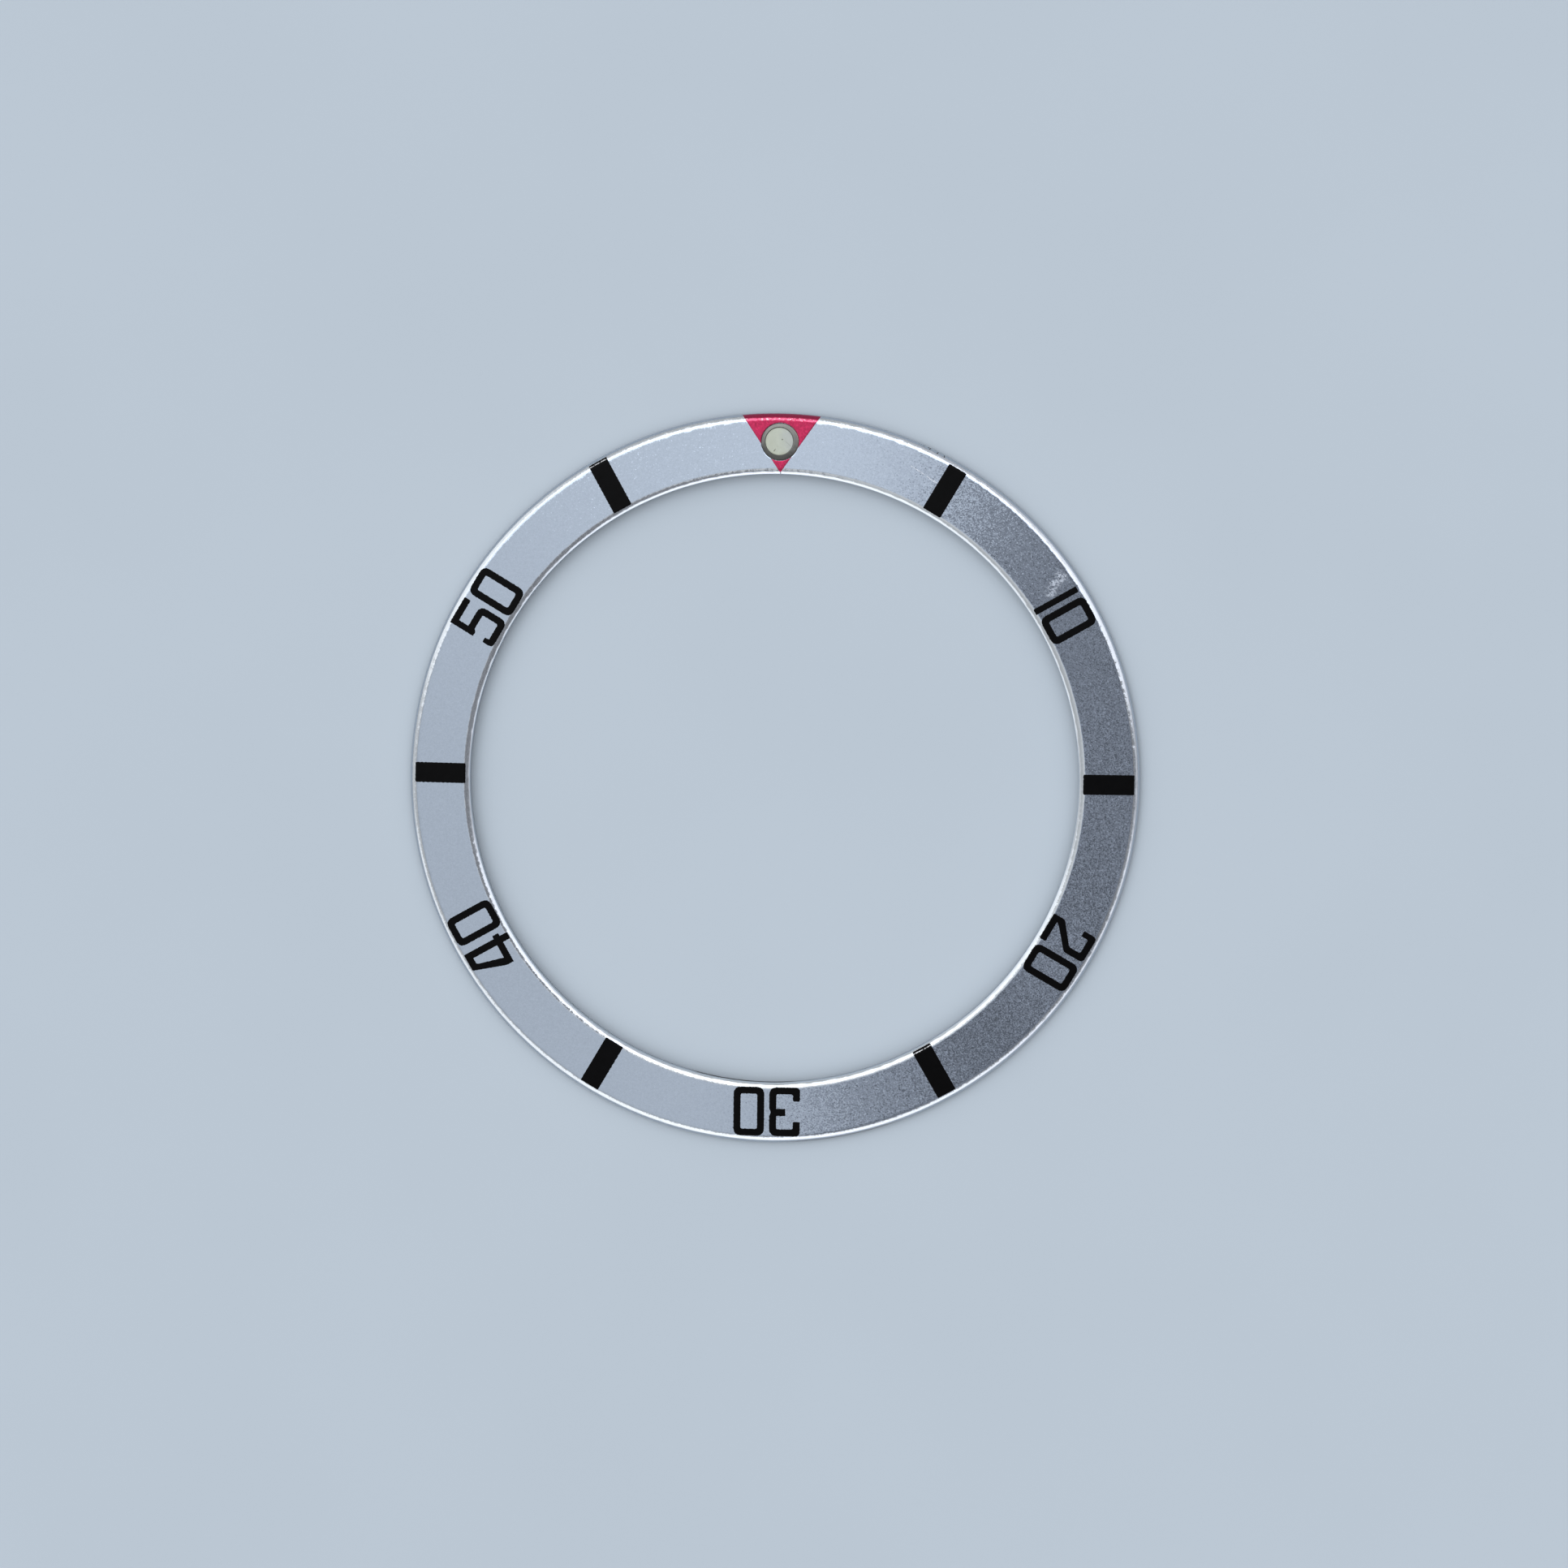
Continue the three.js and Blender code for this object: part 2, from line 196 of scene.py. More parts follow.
@dataclass(frozen=True)
class RingSection:
    """The ring in section: a flat foot, two walls, two bevels with soft corners, and the sloped face."""

    bore_radius: float = 15.85
    outer_radius: float = 19.0
    crest_height: float = 1.0
    face_slope: float = math.radians(8.0)
    inner_bevel: Pair = (0.2, 0.17)
    outer_bevel: Pair = (0.28, 0.24)
    inner_corner: Pair = (0.13, 0.2)
    outer_corner: Pair = (0.2, 0.12)
    wall_break: float = 0.03
    rim_break: float = 0.15
    foot_break: float = 0.05
    held: float = 0.015
    patch_radii: Pair = (18.5, 16.3)
    patch_rows: int = 12

    @property
    def face_inner_radius(self) -> float:
        """Radius of the sharp inner corner of the face."""
        return self.bore_radius + self.inner_bevel[0]

    @property
    def face_outer_radius(self) -> float:
        """Radius of the sharp outer corner of the face."""
        return self.outer_radius - self.outer_bevel[0]

    def face_height(self, radius: np.ndarray | float) -> np.ndarray | float:
        """Height of the sloped face: the crest less the run times the tangent of the slope."""
        return self.crest_height - (radius - self.face_inner_radius) * math.tan(self.face_slope)

    def bend(
        self, before: Corner, corner: Corner, after: Corner, reach: Pair, steps: int
    ) -> np.ndarray:
        """A rounded corner: the quadratic curve between two points near it, drawn towards it.

        Args:
            before: A point on the line that comes to the corner.
            corner: The sharp corner.
            after: A point on the line that leaves it.
            reach: Distances from the corner at which the curve starts and ends.
            steps: Number of pieces of the curve.

        Returns:
            Points of the curve, with one more point held on the line at each end.
        """
        corner_at = np.array(corner, float)
        ways = [np.array(p, float) - corner_at for p in (before, after)]
        ways = [way / np.linalg.norm(way) for way in ways]
        start, end = corner_at + ways[0] * reach[0], corner_at + ways[1] * reach[1]
        first, last = (corner_at + way * (far + self.held) for way, far in zip(ways, reach))
        return np.vstack([first, quadratic(start, corner_at, end, steps), last])

    def stations(self) -> tuple[np.ndarray, dict[str, np.ndarray]]:
        """Points of the whole section, and which of them belong to each named stretch.

        Returns:
            The (radius, height) points round the closed section, from the bore's foot outwards, and the
            station numbers of "under", "face", "inner corner" and "outer corner".
        """
        bore, outer = self.bore_radius, self.outer_radius
        inner_corner = (self.face_inner_radius, self.crest_height)
        outer_corner = (self.face_outer_radius, float(self.face_height(self.face_outer_radius)))
        wall_top = (outer, outer_corner[1] - self.outer_bevel[1])
        bore_top = (bore, self.crest_height - self.inner_bevel[1])
        radii = np.linspace(*self.patch_radii, self.patch_rows)
        foot, wall, rim = ((size,) * 2 for size in (self.foot_break, self.wall_break, self.rim_break))
        stretches = {
            "bore foot": self.bend(bore_top, (bore, 0), (outer, 0), foot, 4),
            "under": np.stack([radii[::-1], np.zeros_like(radii)], axis=1),
            "outer foot": self.bend((bore, 0), (outer, 0), wall_top, foot, 4),
            "wall top": self.bend((outer, 0), wall_top, outer_corner, rim, 6),
            "outer corner": self.bend(wall_top, outer_corner, inner_corner, self.outer_corner, 12),
            "face": np.stack([radii, self.face_height(radii)], axis=1)[1:],
            "inner corner": self.bend(outer_corner, inner_corner, bore_top, self.inner_corner, 14),
            "bore top": self.bend(inner_corner, bore_top, (bore, 0), wall, 4),
        }
        stretches["outer corner"][-1] = (radii[0], self.face_height(radii[0]))
        ends = np.cumsum([len(points) for points in stretches.values()])
        numbers = {
            name: np.arange(end - len(points), end) for (name, points), end in zip(stretches.items(), ends)
        }
        numbers["face"] = np.concatenate([[numbers["face"][0] - 1], numbers["face"]])
        return np.vstack(list(stretches.values())), numbers

    def top_height(self, radius: np.ndarray) -> np.ndarray:
        """Height of the ring's top at each radius, read along the section's upper side.

        Args:
            radius: Distances from the axis.

        Returns:
            One height for each.
        """
        points, numbers = self.stations()
        top = points[numbers["wall top"][2] : numbers["bore top"][-2]]
        order = np.argsort(top[:, 0])
        return np.interp(radius, top[order, 0], top[order, 1])


@dataclass(frozen=True)
class PipPlace:
    """Where the pip stands: in its hole, square to the sloped face, at 12 o'clock."""

    section: RingSection
    radius: float = 17.5195
    hole_radius: float = 0.982

    @property
    def centre(self) -> Triple:
        """The point at which the pip's axis meets the face."""
        return (0.0, self.radius, float(self.section.face_height(self.radius)))

    def on_axis(self, x: np.ndarray, y: np.ndarray, z: np.ndarray) -> np.ndarray:
        """Points given in the pip's own frame, in the part's frame.

        The pip's frame is the part's, moved to the face and turned about X by the face's slope, so that
        its z leans outwards with the face.

        Args:
            x: Places to the right of the axis.
            y: Places outwards along the face.
            z: Heights over the face.

        Returns:
            The points, with x, y and z along the last axis.
        """
        sine, cosine = math.sin(self.section.face_slope), math.cos(self.section.face_slope)
        _, centre_y, centre_z = self.centre
        return np.stack([x, centre_y + y * cosine + z * sine, centre_z - y * sine + z * cosine], axis=-1)


@dataclass
class InsertRing:
    """The turned aluminium ring, with the drilled hole of the pip."""

    section: RingSection
    pip: PipPlace
    turns: int = 1152
    patch_columns: int = 13
    hole_break: float = 0.006
    spreads: tuple[float, ...] = (0.5, 0.06, 0.0)
    corners: tuple[tuple[str, int, float], ...] = (("inner corner", 11, -0.28), ("outer corner", 23, 0.4))
    corner_wander: float = 0.0035
    wander_waves: Pair = (0.25, 2.2)

    def build(self, finish: Finish) -> bpy.types.Object:
        """Builds the ring and dresses it.

        The surface is P(station, azimuth) = (r sin a, r cos a, z) over the closed section. Cells round the
        pip are left out, and a chain of closed loops runs from that gap on the face through the hole to
        the like gap in the underside.

        Args:
            finish: What the piece is dressed with.

        Returns:
            The ring.
        """
        stations, numbers = self.section.stations()
        azimuths = np.arange(self.turns) * TURN / self.turns
        radius, height = self.worn_corners(stations, numbers, azimuths)
        grid = np.concatenate([polar(radius, azimuths), height[..., None]], axis=-1)
        index = np.arange(grid.shape[0] * grid.shape[1]).reshape(grid.shape[:2])
        closed = np.vstack([index, index[:1]])
        cells = strip_quads(closed).reshape(len(index), self.turns, 4)
        columns = np.arange(-self.patch_columns, self.patch_columns + 1) % self.turns
        keep = np.ones(cells.shape[:2], bool)
        for rows in (numbers["face"], numbers["under"]):
            keep[np.ix_(rows[:-1], columns[:-1])] = False
        face_gap = self.gap_loop(index, numbers["face"], columns)
        foot_gap = self.gap_loop(index, numbers["under"][::-1], columns)
        points = grid.reshape(-1, 3)
        chain = self.hole_chain(points[face_gap], points[foot_gap])
        fresh = len(points) + np.arange(chain.shape[0] * chain.shape[1]).reshape(chain.shape[:2])
        loops = np.vstack([face_gap[None], fresh, foot_gap[None]])
        quads = np.concatenate([cells[keep], strip_quads(loops)])
        piece = write_mesh("insert_ring_satin", np.vstack([points, chain.reshape(-1, 3)]), quads, np.empty((0, 3)))
        return dress(piece, finish, "insert_ring")

    def worn_corners(
        self, stations: np.ndarray, numbers: dict[str, np.ndarray], azimuths: np.ndarray
    ) -> tuple[np.ndarray, np.ndarray]:
        """Radius and height at each station and azimuth, with the two top corners wandering a little.

        A point of a corner moves along the corner's mean normal by a smooth random line round the ring,
        most at the middle of the corner and not at its ends. The corners are given by name, seed and lean
        of the normal.

        Args:
            stations: Points of the section.
            numbers: Station numbers of each named stretch.
            azimuths: Azimuths of the grid's columns.

        Returns:
            The radii and the heights, with a row for each station.
        """
        radius = np.repeat(stations[:, :1], len(azimuths), axis=1)
        height = np.repeat(stations[:, 1:], len(azimuths), axis=1)
        for name, seed, lean in self.corners:
            rows = numbers[name][1:-1]
            share = np.sin(np.linspace(0, math.pi, len(rows)))[:, None]
            length = TURN * stations[rows, 0].mean()
            wander = smooth_wander(azimuths / TURN * length, length, self.wander_waves, seed)
            step = share * wander[None] * self.corner_wander
            radius[rows] += step * math.sin(lean)
            height[rows] += step * math.cos(lean) - self.corner_wander * share
        return radius, height

    @staticmethod
    def gap_loop(index: np.ndarray, rows: np.ndarray, columns: np.ndarray) -> np.ndarray:
        """Vertex numbers round a rectangular gap of the grid, along its first row first.

        Args:
            index: Vertex numbers of the grid.
            rows: Rows of the gap.
            columns: Columns of the gap.

        Returns:
            The numbers in order round the gap.
        """
        there, back = index[rows[0], columns], index[rows[-1], columns[::-1]]
        sides = index[rows[1:-1], columns[-1]], index[rows[1:-1][::-1], columns[0]]
        return np.concatenate([there, sides[0], back, sides[1]])

    def hole_chain(self, face_gap: np.ndarray, foot_gap: np.ndarray) -> np.ndarray:
        """Closed loops of points from the gap in the face down the hole to the gap in the underside.

        Each loop has one point for each point of the gap, at the same angle about the hole. On the face
        and the underside they blend from a circle to the gap, and in the hole they are circles about the
        leaning axis, with a broken edge at both ends.

        Args:
            face_gap: Points round the gap in the face.
            foot_gap: Points round the gap in the underside.

        Returns:
            The loops, from the face down.
        """
        _, centre_y, centre_z = self.pip.centre
        angle = np.arctan2(face_gap[:, 0], face_gap[:, 1] - centre_y)
        sine, cosine = np.sin(angle), np.cos(angle)
        slope = self.section.face_slope
        hole, wide = self.pip.hole_radius, self.pip.hole_radius + self.hole_break

        def on_face(spread: float) -> np.ndarray:
            """A loop on the face, from the broken edge at 0 to the gap at 1.

            Args:
                spread: Share of the way out to the gap.

            Returns:
                The loop's points.
            """
            rim = self.pip.on_axis(sine * wide, cosine * wide, np.zeros_like(angle))
            loop = rim + (face_gap - rim) * spread
            loop[:, 2] = self.section.face_height(np.hypot(loop[:, 0], loop[:, 1]))
            return loop

        def in_hole(ring_radius: float, height: float) -> np.ndarray:
            """A loop round the hole's axis at one height above the underside.

            Args:
                ring_radius: Radius about the axis.
                height: Height of the loop.

            Returns:
                The loop's points.
            """
            y = cosine * ring_radius
            z = (height - centre_z + y * math.sin(slope)) / math.cos(slope)
            return self.pip.on_axis(sine * ring_radius, y, z)

        def on_foot(spread: float) -> np.ndarray:
            """A loop on the underside, from the broken edge at 0 to the gap at 1."""
            rim = in_hole(wide, 0.0)
            return rim + (foot_gap - rim) * spread

        steps = (self.hole_break, self.hole_break * 2)
        below = [self.pip.on_axis(sine * hole, cosine * hole, np.full_like(angle, -step)) for step in steps]
        above = [in_hole(hole, step) for step in steps[::-1]]
        down, out = map(on_face, self.spreads), map(on_foot, self.spreads[::-1])
        return np.stack([*down, *below, *above, *out])


# Outlines of the printed marks


def rounded_loop(corners: Sequence[Corner], steps: int = 6) -> np.ndarray:
    """A closed line through corners of (x, y, round), each rounded by a quadratic curve.

    A round is how far from its corner the curve starts, and takes no more than half a side.

    Args:
        corners: The corners in order. A corner without a third number stays sharp.
        steps: Number of pieces of each curve.

    Returns:
        Points round the line, one row each.
    """
    places = np.array([corner[:2] for corner in corners], float)
    rounds = np.array([corner[2] if len(corner) > 2 else 0.0 for corner in corners])
    before, after = np.roll(places, 1, axis=0) - places, np.roll(places, -1, axis=0) - places
    before_length, after_length = np.linalg.norm(before, axis=1), np.linalg.norm(after, axis=1)
    reach = np.minimum(rounds, np.minimum(before_length, after_length) / 2)[:, None]
    entry, leave = places + before / before_length[:, None] * reach, places + after / after_length[:, None] * reach
    line = quadratic(entry, places, leave, steps).reshape(-1, 2)
    fresh = np.linalg.norm(line - np.roll(line, 1, axis=0), axis=1) > 1e-9
    return line[fresh]


def box_corners(left: float, bottom: float, right: float, top: float, corner: float) -> list[Corner]:
    """The four corners of an upright box, all with one round."""
    return [(left, bottom, corner), (right, bottom, corner), (right, top, corner), (left, top, corner)]


def evenly(loop: np.ndarray, pitch: float) -> np.ndarray:
    """Points at even steps of about the pitch along a closed line.

    Args:
        loop: The line's points.
        pitch: The wanted step.

    Returns:
        The points, one row each.
    """
    closed = np.vstack([loop, loop[:1]])
    along = np.concatenate([[0], np.cumsum(np.linalg.norm(np.diff(closed, axis=0), axis=1))])
    places = np.linspace(0, along[-1], max(8, round(along[-1] / pitch)), endpoint=False)
    return np.stack([np.interp(places, along, closed[:, k]) for k in range(2)], axis=1)


def loop_normals(loop: np.ndarray) -> np.ndarray:
    """Unit vectors square to a closed line, to the right of its way round.

    Args:
        loop: The line's points.

    Returns:
        One vector for each point.
    """
    way = np.roll(loop, -1, axis=0) - np.roll(loop, 1, axis=0)
    way /= np.maximum(np.linalg.norm(way, axis=1), 1e-12)[:, None]
    return np.stack([way[:, 1], -way[:, 0]], axis=1)


def ragged(loop: np.ndarray, height: float, waves: Pair, seed: int) -> np.ndarray:
    """A closed line of even steps moved in and out along its normals by a smooth random line.

    Args:
        loop: The line's points.
        height: Size of the moves.
        waves: Their shortest and longest wave.
        seed: Seed of the draw.

    Returns:
        The moved points.
    """
    pitch = float(np.linalg.norm(loop[1] - loop[0]))
    along = np.arange(len(loop)) * pitch
    wander = smooth_wander(along, len(loop) * pitch, waves, seed)
    return loop + loop_normals(loop) * (wander * height)[:, None]


def inside(points: np.ndarray, loops: Sequence[np.ndarray]) -> np.ndarray:
    """Whether each point lies in the shape that closed lines bound, by the even-odd rule.

    Args:
        points: Points in plan.
        loops: The closed lines.

    Returns:
        True or False for each point.
    """
    count = np.zeros(len(points), int)
    for loop in loops:
        ahead = np.roll(loop, -1, axis=0)
        x, y = points[:, 0][:, None], points[:, 1][:, None]
        crosses = (loop[:, 1] > y) != (ahead[:, 1] > y)
        rise = np.where(ahead[:, 1] == loop[:, 1], 1e-12, ahead[:, 1] - loop[:, 1])
        reach = loop[:, 0] + (y - loop[:, 1]) * (ahead[:, 0] - loop[:, 0]) / rise
        count += (crosses & (x < reach)).sum(axis=1)
    return count % 2 == 1


def edge_distance(points: np.ndarray, loops: Sequence[np.ndarray]) -> np.ndarray:
    """Distance from each point to the nearest segment of closed lines.

    Args:
        points: Points in plan.
        loops: The closed lines.

    Returns:
        One distance for each point.
    """
    start = np.vstack(loops)
    way = np.vstack([np.roll(loop, -1, axis=0) - loop for loop in loops])
    offset = points[:, None] - start[None]
    share = np.einsum("ijk,jk->ij", offset, way) / np.maximum((way**2).sum(axis=1), 1e-18)
    nearest = offset - np.clip(share, 0, 1)[..., None] * way
    return np.sqrt((nearest**2).sum(axis=2)).min(axis=1)


@dataclass(frozen=True)
class DigitSizes:
    """Sizes that all digits share, and shares of them that place each digit's corners."""

    width: float = 1.576
    height: float = 2.58
    stroke: float = 0.342
    bowl_round: float = 0.4
    hook_round: float = 0.24
    inside_round: float = 0.12
    bend_round: float = 0.12
    end_round: float = 0.035
    one_width: float = 0.3
    one_foot_drop: float = 0.02
    one_top_drop: float = 0.12
    two_width_share: float = 0.925
    four_width_share: float = 1.054
    five_width_share: float = 0.97
    waist_notch: float = 0.08

    def zero(self) -> list[list[Corner]]:
        """Outline and hole of 0."""
        w, h, s = self.width, self.height, self.stroke
        return [box_corners(0, 0, w, h, self.bowl_round), box_corners(s, s, w - s, h - s, self.inside_round)]

    def one(self) -> list[list[Corner]]:
        """Outline of 1."""
        return [box_corners(0, -self.one_foot_drop, self.one_width, self.height - self.one_top_drop, self.end_round)]

    def two(self) -> list[list[Corner]]:
        """Outline of 2.

        Returns:
            The corners as (x, y, round).
        """
        h, s, e, i = self.height, self.stroke, self.end_round, self.inside_round
        w = self.width * self.two_width_share
        hook = s * 0.85
        return [
            [
                (0, h * 0.71, e), (hook, h * 0.71, e), (hook, h - s, i), (w - s, h - s, i), (w - s, h * 0.605, i),
                (0, h * 0.245, self.bend_round), (0, 0, e), (w, 0, e), (w, s, e), (hook, s),
                (self.width * 0.25, h * 0.2, e), (w, h * 0.565, self.bend_round), (w, h, self.hook_round),
                (0, h, self.hook_round),
            ]
        ]

    def three(self) -> list[list[Corner]]:
        """Outline of 3.

        Returns:
            The corners as (x, y, round).
        """
        w, h, s, e, i = self.width, self.height, self.stroke, self.end_round, self.inside_round
        stub_end = w - s - w * 0.3
        return [
            [
                (0, 0, self.hook_round), (w, 0, self.bowl_round), (w, h * 0.435), (w - self.waist_notch, h * 0.515, e),
                (w, h * 0.595), (w, h, self.bowl_round), (0, h, self.hook_round), (0, h * 0.71, e), (s, h * 0.71, e),
                (s, h - s, i), (w - s, h - s, i), (w - s, h * 0.583), (stub_end, h * 0.583, e),
                (stub_end, h * 0.445, e), (w - s, h * 0.445), (w - s, s, i), (s, s, i), (s, h * 0.277, e),
                (0, h * 0.277, e),
            ]
        ]

    def four(self) -> list[list[Corner]]:
        """Outline and hole of 4.

        Returns:
            The corners as (x, y, round).
        """
        w, h, s, e = self.width, self.height, self.stroke, self.end_round
        wide, right = w * self.four_width_share, w * 0.946
        left, foot = right - s, h * 0.165
        top = foot + s
        return [
            [
                (0, foot, e), (left, foot, e), (left, 0, e), (right, 0, e), (right, foot, e), (wide, foot, e),
                (wide, top, e), (right, top), (right, h, e), (w * 0.37, h, e), (0, h * 0.32, self.bend_round),
            ],
            [(w * 0.247, top), (left, top), (left, h - s, e), (w * 0.49, h - s, self.inside_round)],
        ]

    def five(self) -> list[list[Corner]]:
        """Outline of 5.

        Returns:
            The corners as (x, y, round).
        """
        h, s, e, i = self.height, self.stroke, self.end_round, self.inside_round
        w = self.width * self.five_width_share
        bar_end, stem, hook, bowl_top = self.width * 0.945, s * 0.9, s * 0.74, h * 0.637
        return [
            [
                (0, 0, self.hook_round), (w, 0, self.bowl_round), (w, bowl_top, self.bowl_round), (stem, bowl_top),
                (stem, h - s, e), (bar_end, h - s, e), (bar_end, h, e), (0, h, e), (0, h * 0.459, e),
                (hook, h * 0.459, e), (s, bowl_top - s, e), (w - s, bowl_top - s, i), (w - s, s, i), (hook, s, e),
                (hook, h * 0.224, e), (0, h * 0.224, e),
            ]
        ]


class Digit(Enum):
    """A digit, by the word that names its node and the method of DigitSizes that draws it."""

    ZERO = "zero"
    ONE = "one"
    TWO = "two"
    THREE = "three"
    FOUR = "four"
    FIVE = "five"

    def loops(self, sizes: DigitSizes) -> list[list[Corner]]:
        """Corners of the digit's outline and of its hole, if it has one."""
        return getattr(sizes, self.value)()

    def width(self, sizes: DigitSizes) -> float:
        """Width that the digit takes beside another one.

        Args:
            sizes: The print's sizes.

        Returns:
            The width in millimetres.
        """
        widths = {
            Digit.ONE: sizes.one_width,
            Digit.TWO: sizes.width * sizes.two_width_share,
            Digit.FOUR: sizes.width * sizes.four_width_share,
            Digit.FIVE: sizes.width * sizes.five_width_share,
        }
        return widths.get(self, sizes.width)


@dataclass(frozen=True)
class PrintPlace:
    """Where the black print lies on the ring: a little off the ring's own centre and direction."""

    inner_radius: float = 16.07
    shift_along_y: float = 0.022
    turn: float = math.radians(0.07)
    stroke: float = 0.342
    side_shares: tuple[tuple[int, float], ...] = (
        (5, -0.32), (10, -0.29), (15, -0.13), (20, 0.28), (25, 0.15), (30, 0.19), (35, 0.08), (40, 0.03),
        (45, 0.0), (50, 0.0), (55, -0.12),
    )

    def lay(self, loop: np.ndarray, minute: int, left: float) -> np.ndarray:
        """A loop drawn in a mark's own frame, in the part's plan.

        Args:
            loop: Points whose x runs clockwise and whose y runs outwards from the foot.
            minute: The minute that the mark stands at.
            left: Place of the loop's x = 0 beside the minute's line.

        Returns:
            The points turned to the minute and shifted with the whole print.
        """
        side = left + self.stroke * dict(self.side_shares)[minute]
        angle = self.turn - math.radians(6 * minute)
        x, y = loop[:, 0] + side, loop[:, 1] + self.inner_radius
        cosine, sine = math.cos(angle), math.sin(angle)
        return np.stack([x * cosine - y * sine, x * sine + y * cosine + self.shift_along_y], axis=1)


@dataclass(frozen=True)
class InkFilm:
    """A printed film: flat on top, rounded down to the metal along its ragged edge."""

    section: RingSection
    thickness: float = 0.02
    edge_width: float = 0.03
    edge_pitch: float = 0.028
    insets: tuple[float, ...] = (0.005, 0.013, 0.027)
    sunk: float = 0.003
    spread: float = 0.015
    ragged_height: float = 0.005
    ragged_waves: Pair = (0.1, 0.42)
    core_pitch: float = 0.07
    face_rows: Pair = (16.25, 18.58)
    bevel_rows: Pair = (18.86, 18.92)
    least_row_step: float = 0.012
    inset_slack: float = 0.85
    core_clear: float = 1.5

    def build(self, name: str, loops: Sequence[np.ndarray], seed: int) -> bpy.types.Object:
        """Builds the film that closed lines in plan bound, on the ring's top.

        The height over the metal is T sqrt(1 - (1 - d/e)^2) at a distance d from the edge, up to d = e.
        The underside lies just in the metal and shares the edge's vertices.

        Args:
            name: Name of the piece.
            loops: The outline, then its holes, in plan.
            seed: Seed of the edge's raggedness.

        Returns:
            The film's object.
        """
        edges = [self.spread_out(evenly(loop, self.edge_pitch), hole=k > 0) for k, loop in enumerate(loops)]
        edges = [ragged(loop, self.ragged_height, self.ragged_waves, seed + k) for k, loop in enumerate(edges)]
        edge = np.vstack(edges)
        core = self.core_points(edges)
        plan, rows = self.triangles(edges, np.vstack([edge, core]))
        distance = edge_distance(plan, edges)
        on_edge = distance < 1e-5
        rows = rows[~on_edge[rows].all(axis=1)]
        metal = self.section.top_height(np.hypot(plan[:, 0], plan[:, 1]))
        share = np.clip(distance / self.edge_width, 0, 1)
        lift = self.thickness * np.sqrt(1 - (1 - share) ** 2)
        top = np.column_stack([plan, metal + lift - np.where(on_edge, self.sunk / 2, 0)])
        under = np.column_stack([plan, metal - self.sunk])
        twin = np.where(on_edge, np.arange(len(plan)), np.arange(len(plan)) + len(plan))
        faces = np.concatenate([rows, twin[rows][:, ::-1]])
        return write_mesh(name, np.vstack([top, under]), np.empty((0, 4)), faces)

    def spread_out(self, loop: np.ndarray, hole: bool) -> np.ndarray:
        """A closed line moved by the ink's spread, outwards, or inwards where it bounds a hole.

        Which side is outwards follows from the sign of the area, half the sum of x dy - y dx.

        Args:
            loop: The line's points.
            hole: Whether it bounds a hole.

        Returns:
            The moved points.
        """
        ahead = np.roll(loop, -1, axis=0)
        area = float((loop[:, 0] * ahead[:, 1] - loop[:, 1] * ahead[:, 0]).sum() / 2)
        side = math.copysign(1.0, area) * (-1.0 if hole else 1.0)
        return loop + loop_normals(loop) * self.spread * side

    def core_points(self, edges: Sequence[np.ndarray]) -> np.ndarray:
        """Points inside the edge: rows that follow it where the film rounds down, and a grid on the rest.

        The grid follows the ring: its rows are at the section's own radii where these are close, so that
        the film bends where the metal bends. A point that comes nearer to the edge than its row is left out.

        Args:
            edges: The film's closed edges.

        Returns:
            Points in plan, one row each.
        """
        rows = []
        for inset in self.insets:
            both = [loop + loop_normals(loop) * inset * side for loop in edges for side in (-1, 1)]
            points = np.vstack(both)
            near = edge_distance(points, edges)
            rows.append(points[inside(points, edges) & (near > inset * self.inset_slack)])
        edge = np.vstack(edges)
        radii, azimuths = np.hypot(edge[:, 0], edge[:, 1]), np.unwrap(np.arctan2(edge[:, 0], edge[:, 1]))
        stations, numbers = self.section.stations()
        bends = np.concatenate([stations[numbers[n][1:-1], 0] for n in ("inner corner", "outer corner")])
        plain = np.arange(*self.face_rows, self.core_pitch)
        wanted = np.sort(np.concatenate([bends, plain, self.bevel_rows]))
        wanted = wanted[(wanted > radii.min()) & (wanted < radii.max())]
        wanted = wanted[np.concatenate([[True], np.diff(wanted) > self.least_row_step])]
        steps = max(2, int(np.ptp(azimuths) * radii.mean() / self.core_pitch))
        turn = np.linspace(azimuths.min(), azimuths.max(), steps)
        grid = polar(*(values.ravel() for values in np.meshgrid(wanted, turn)))
        grid = grid[inside(grid, edges)]
        rows.append(grid[edge_distance(grid, edges) > self.insets[-1] * self.core_clear])
        return np.vstack(rows)

    @staticmethod
    def triangles(edges: Sequence[np.ndarray], points: np.ndarray) -> tuple[np.ndarray, np.ndarray]:
        """Triangles over the shape, with the edge's own segments kept.

        Args:
            edges: The closed lines, which are the first of the points, in order.
            points: All points in plan.

        Returns:
            The points, of which near doubles are merged, and rows of three vertex numbers.
        """
        ends = np.cumsum([len(loop) for loop in edges])
        numbers = np.split(np.arange(ends[-1]), ends[:-1])
        segments = np.vstack([np.column_stack([loop, np.roll(loop, -1)]) for loop in numbers])
        merged, _, faces, *_ = delaunay_2d_cdt(points.tolist(), segments.tolist(), [], 0, 1e-6, False)
        plan, rows = np.array(merged), np.array(faces, int)
        middles = plan[rows].mean(axis=1)
        return plan, rows[inside(middles, edges)]


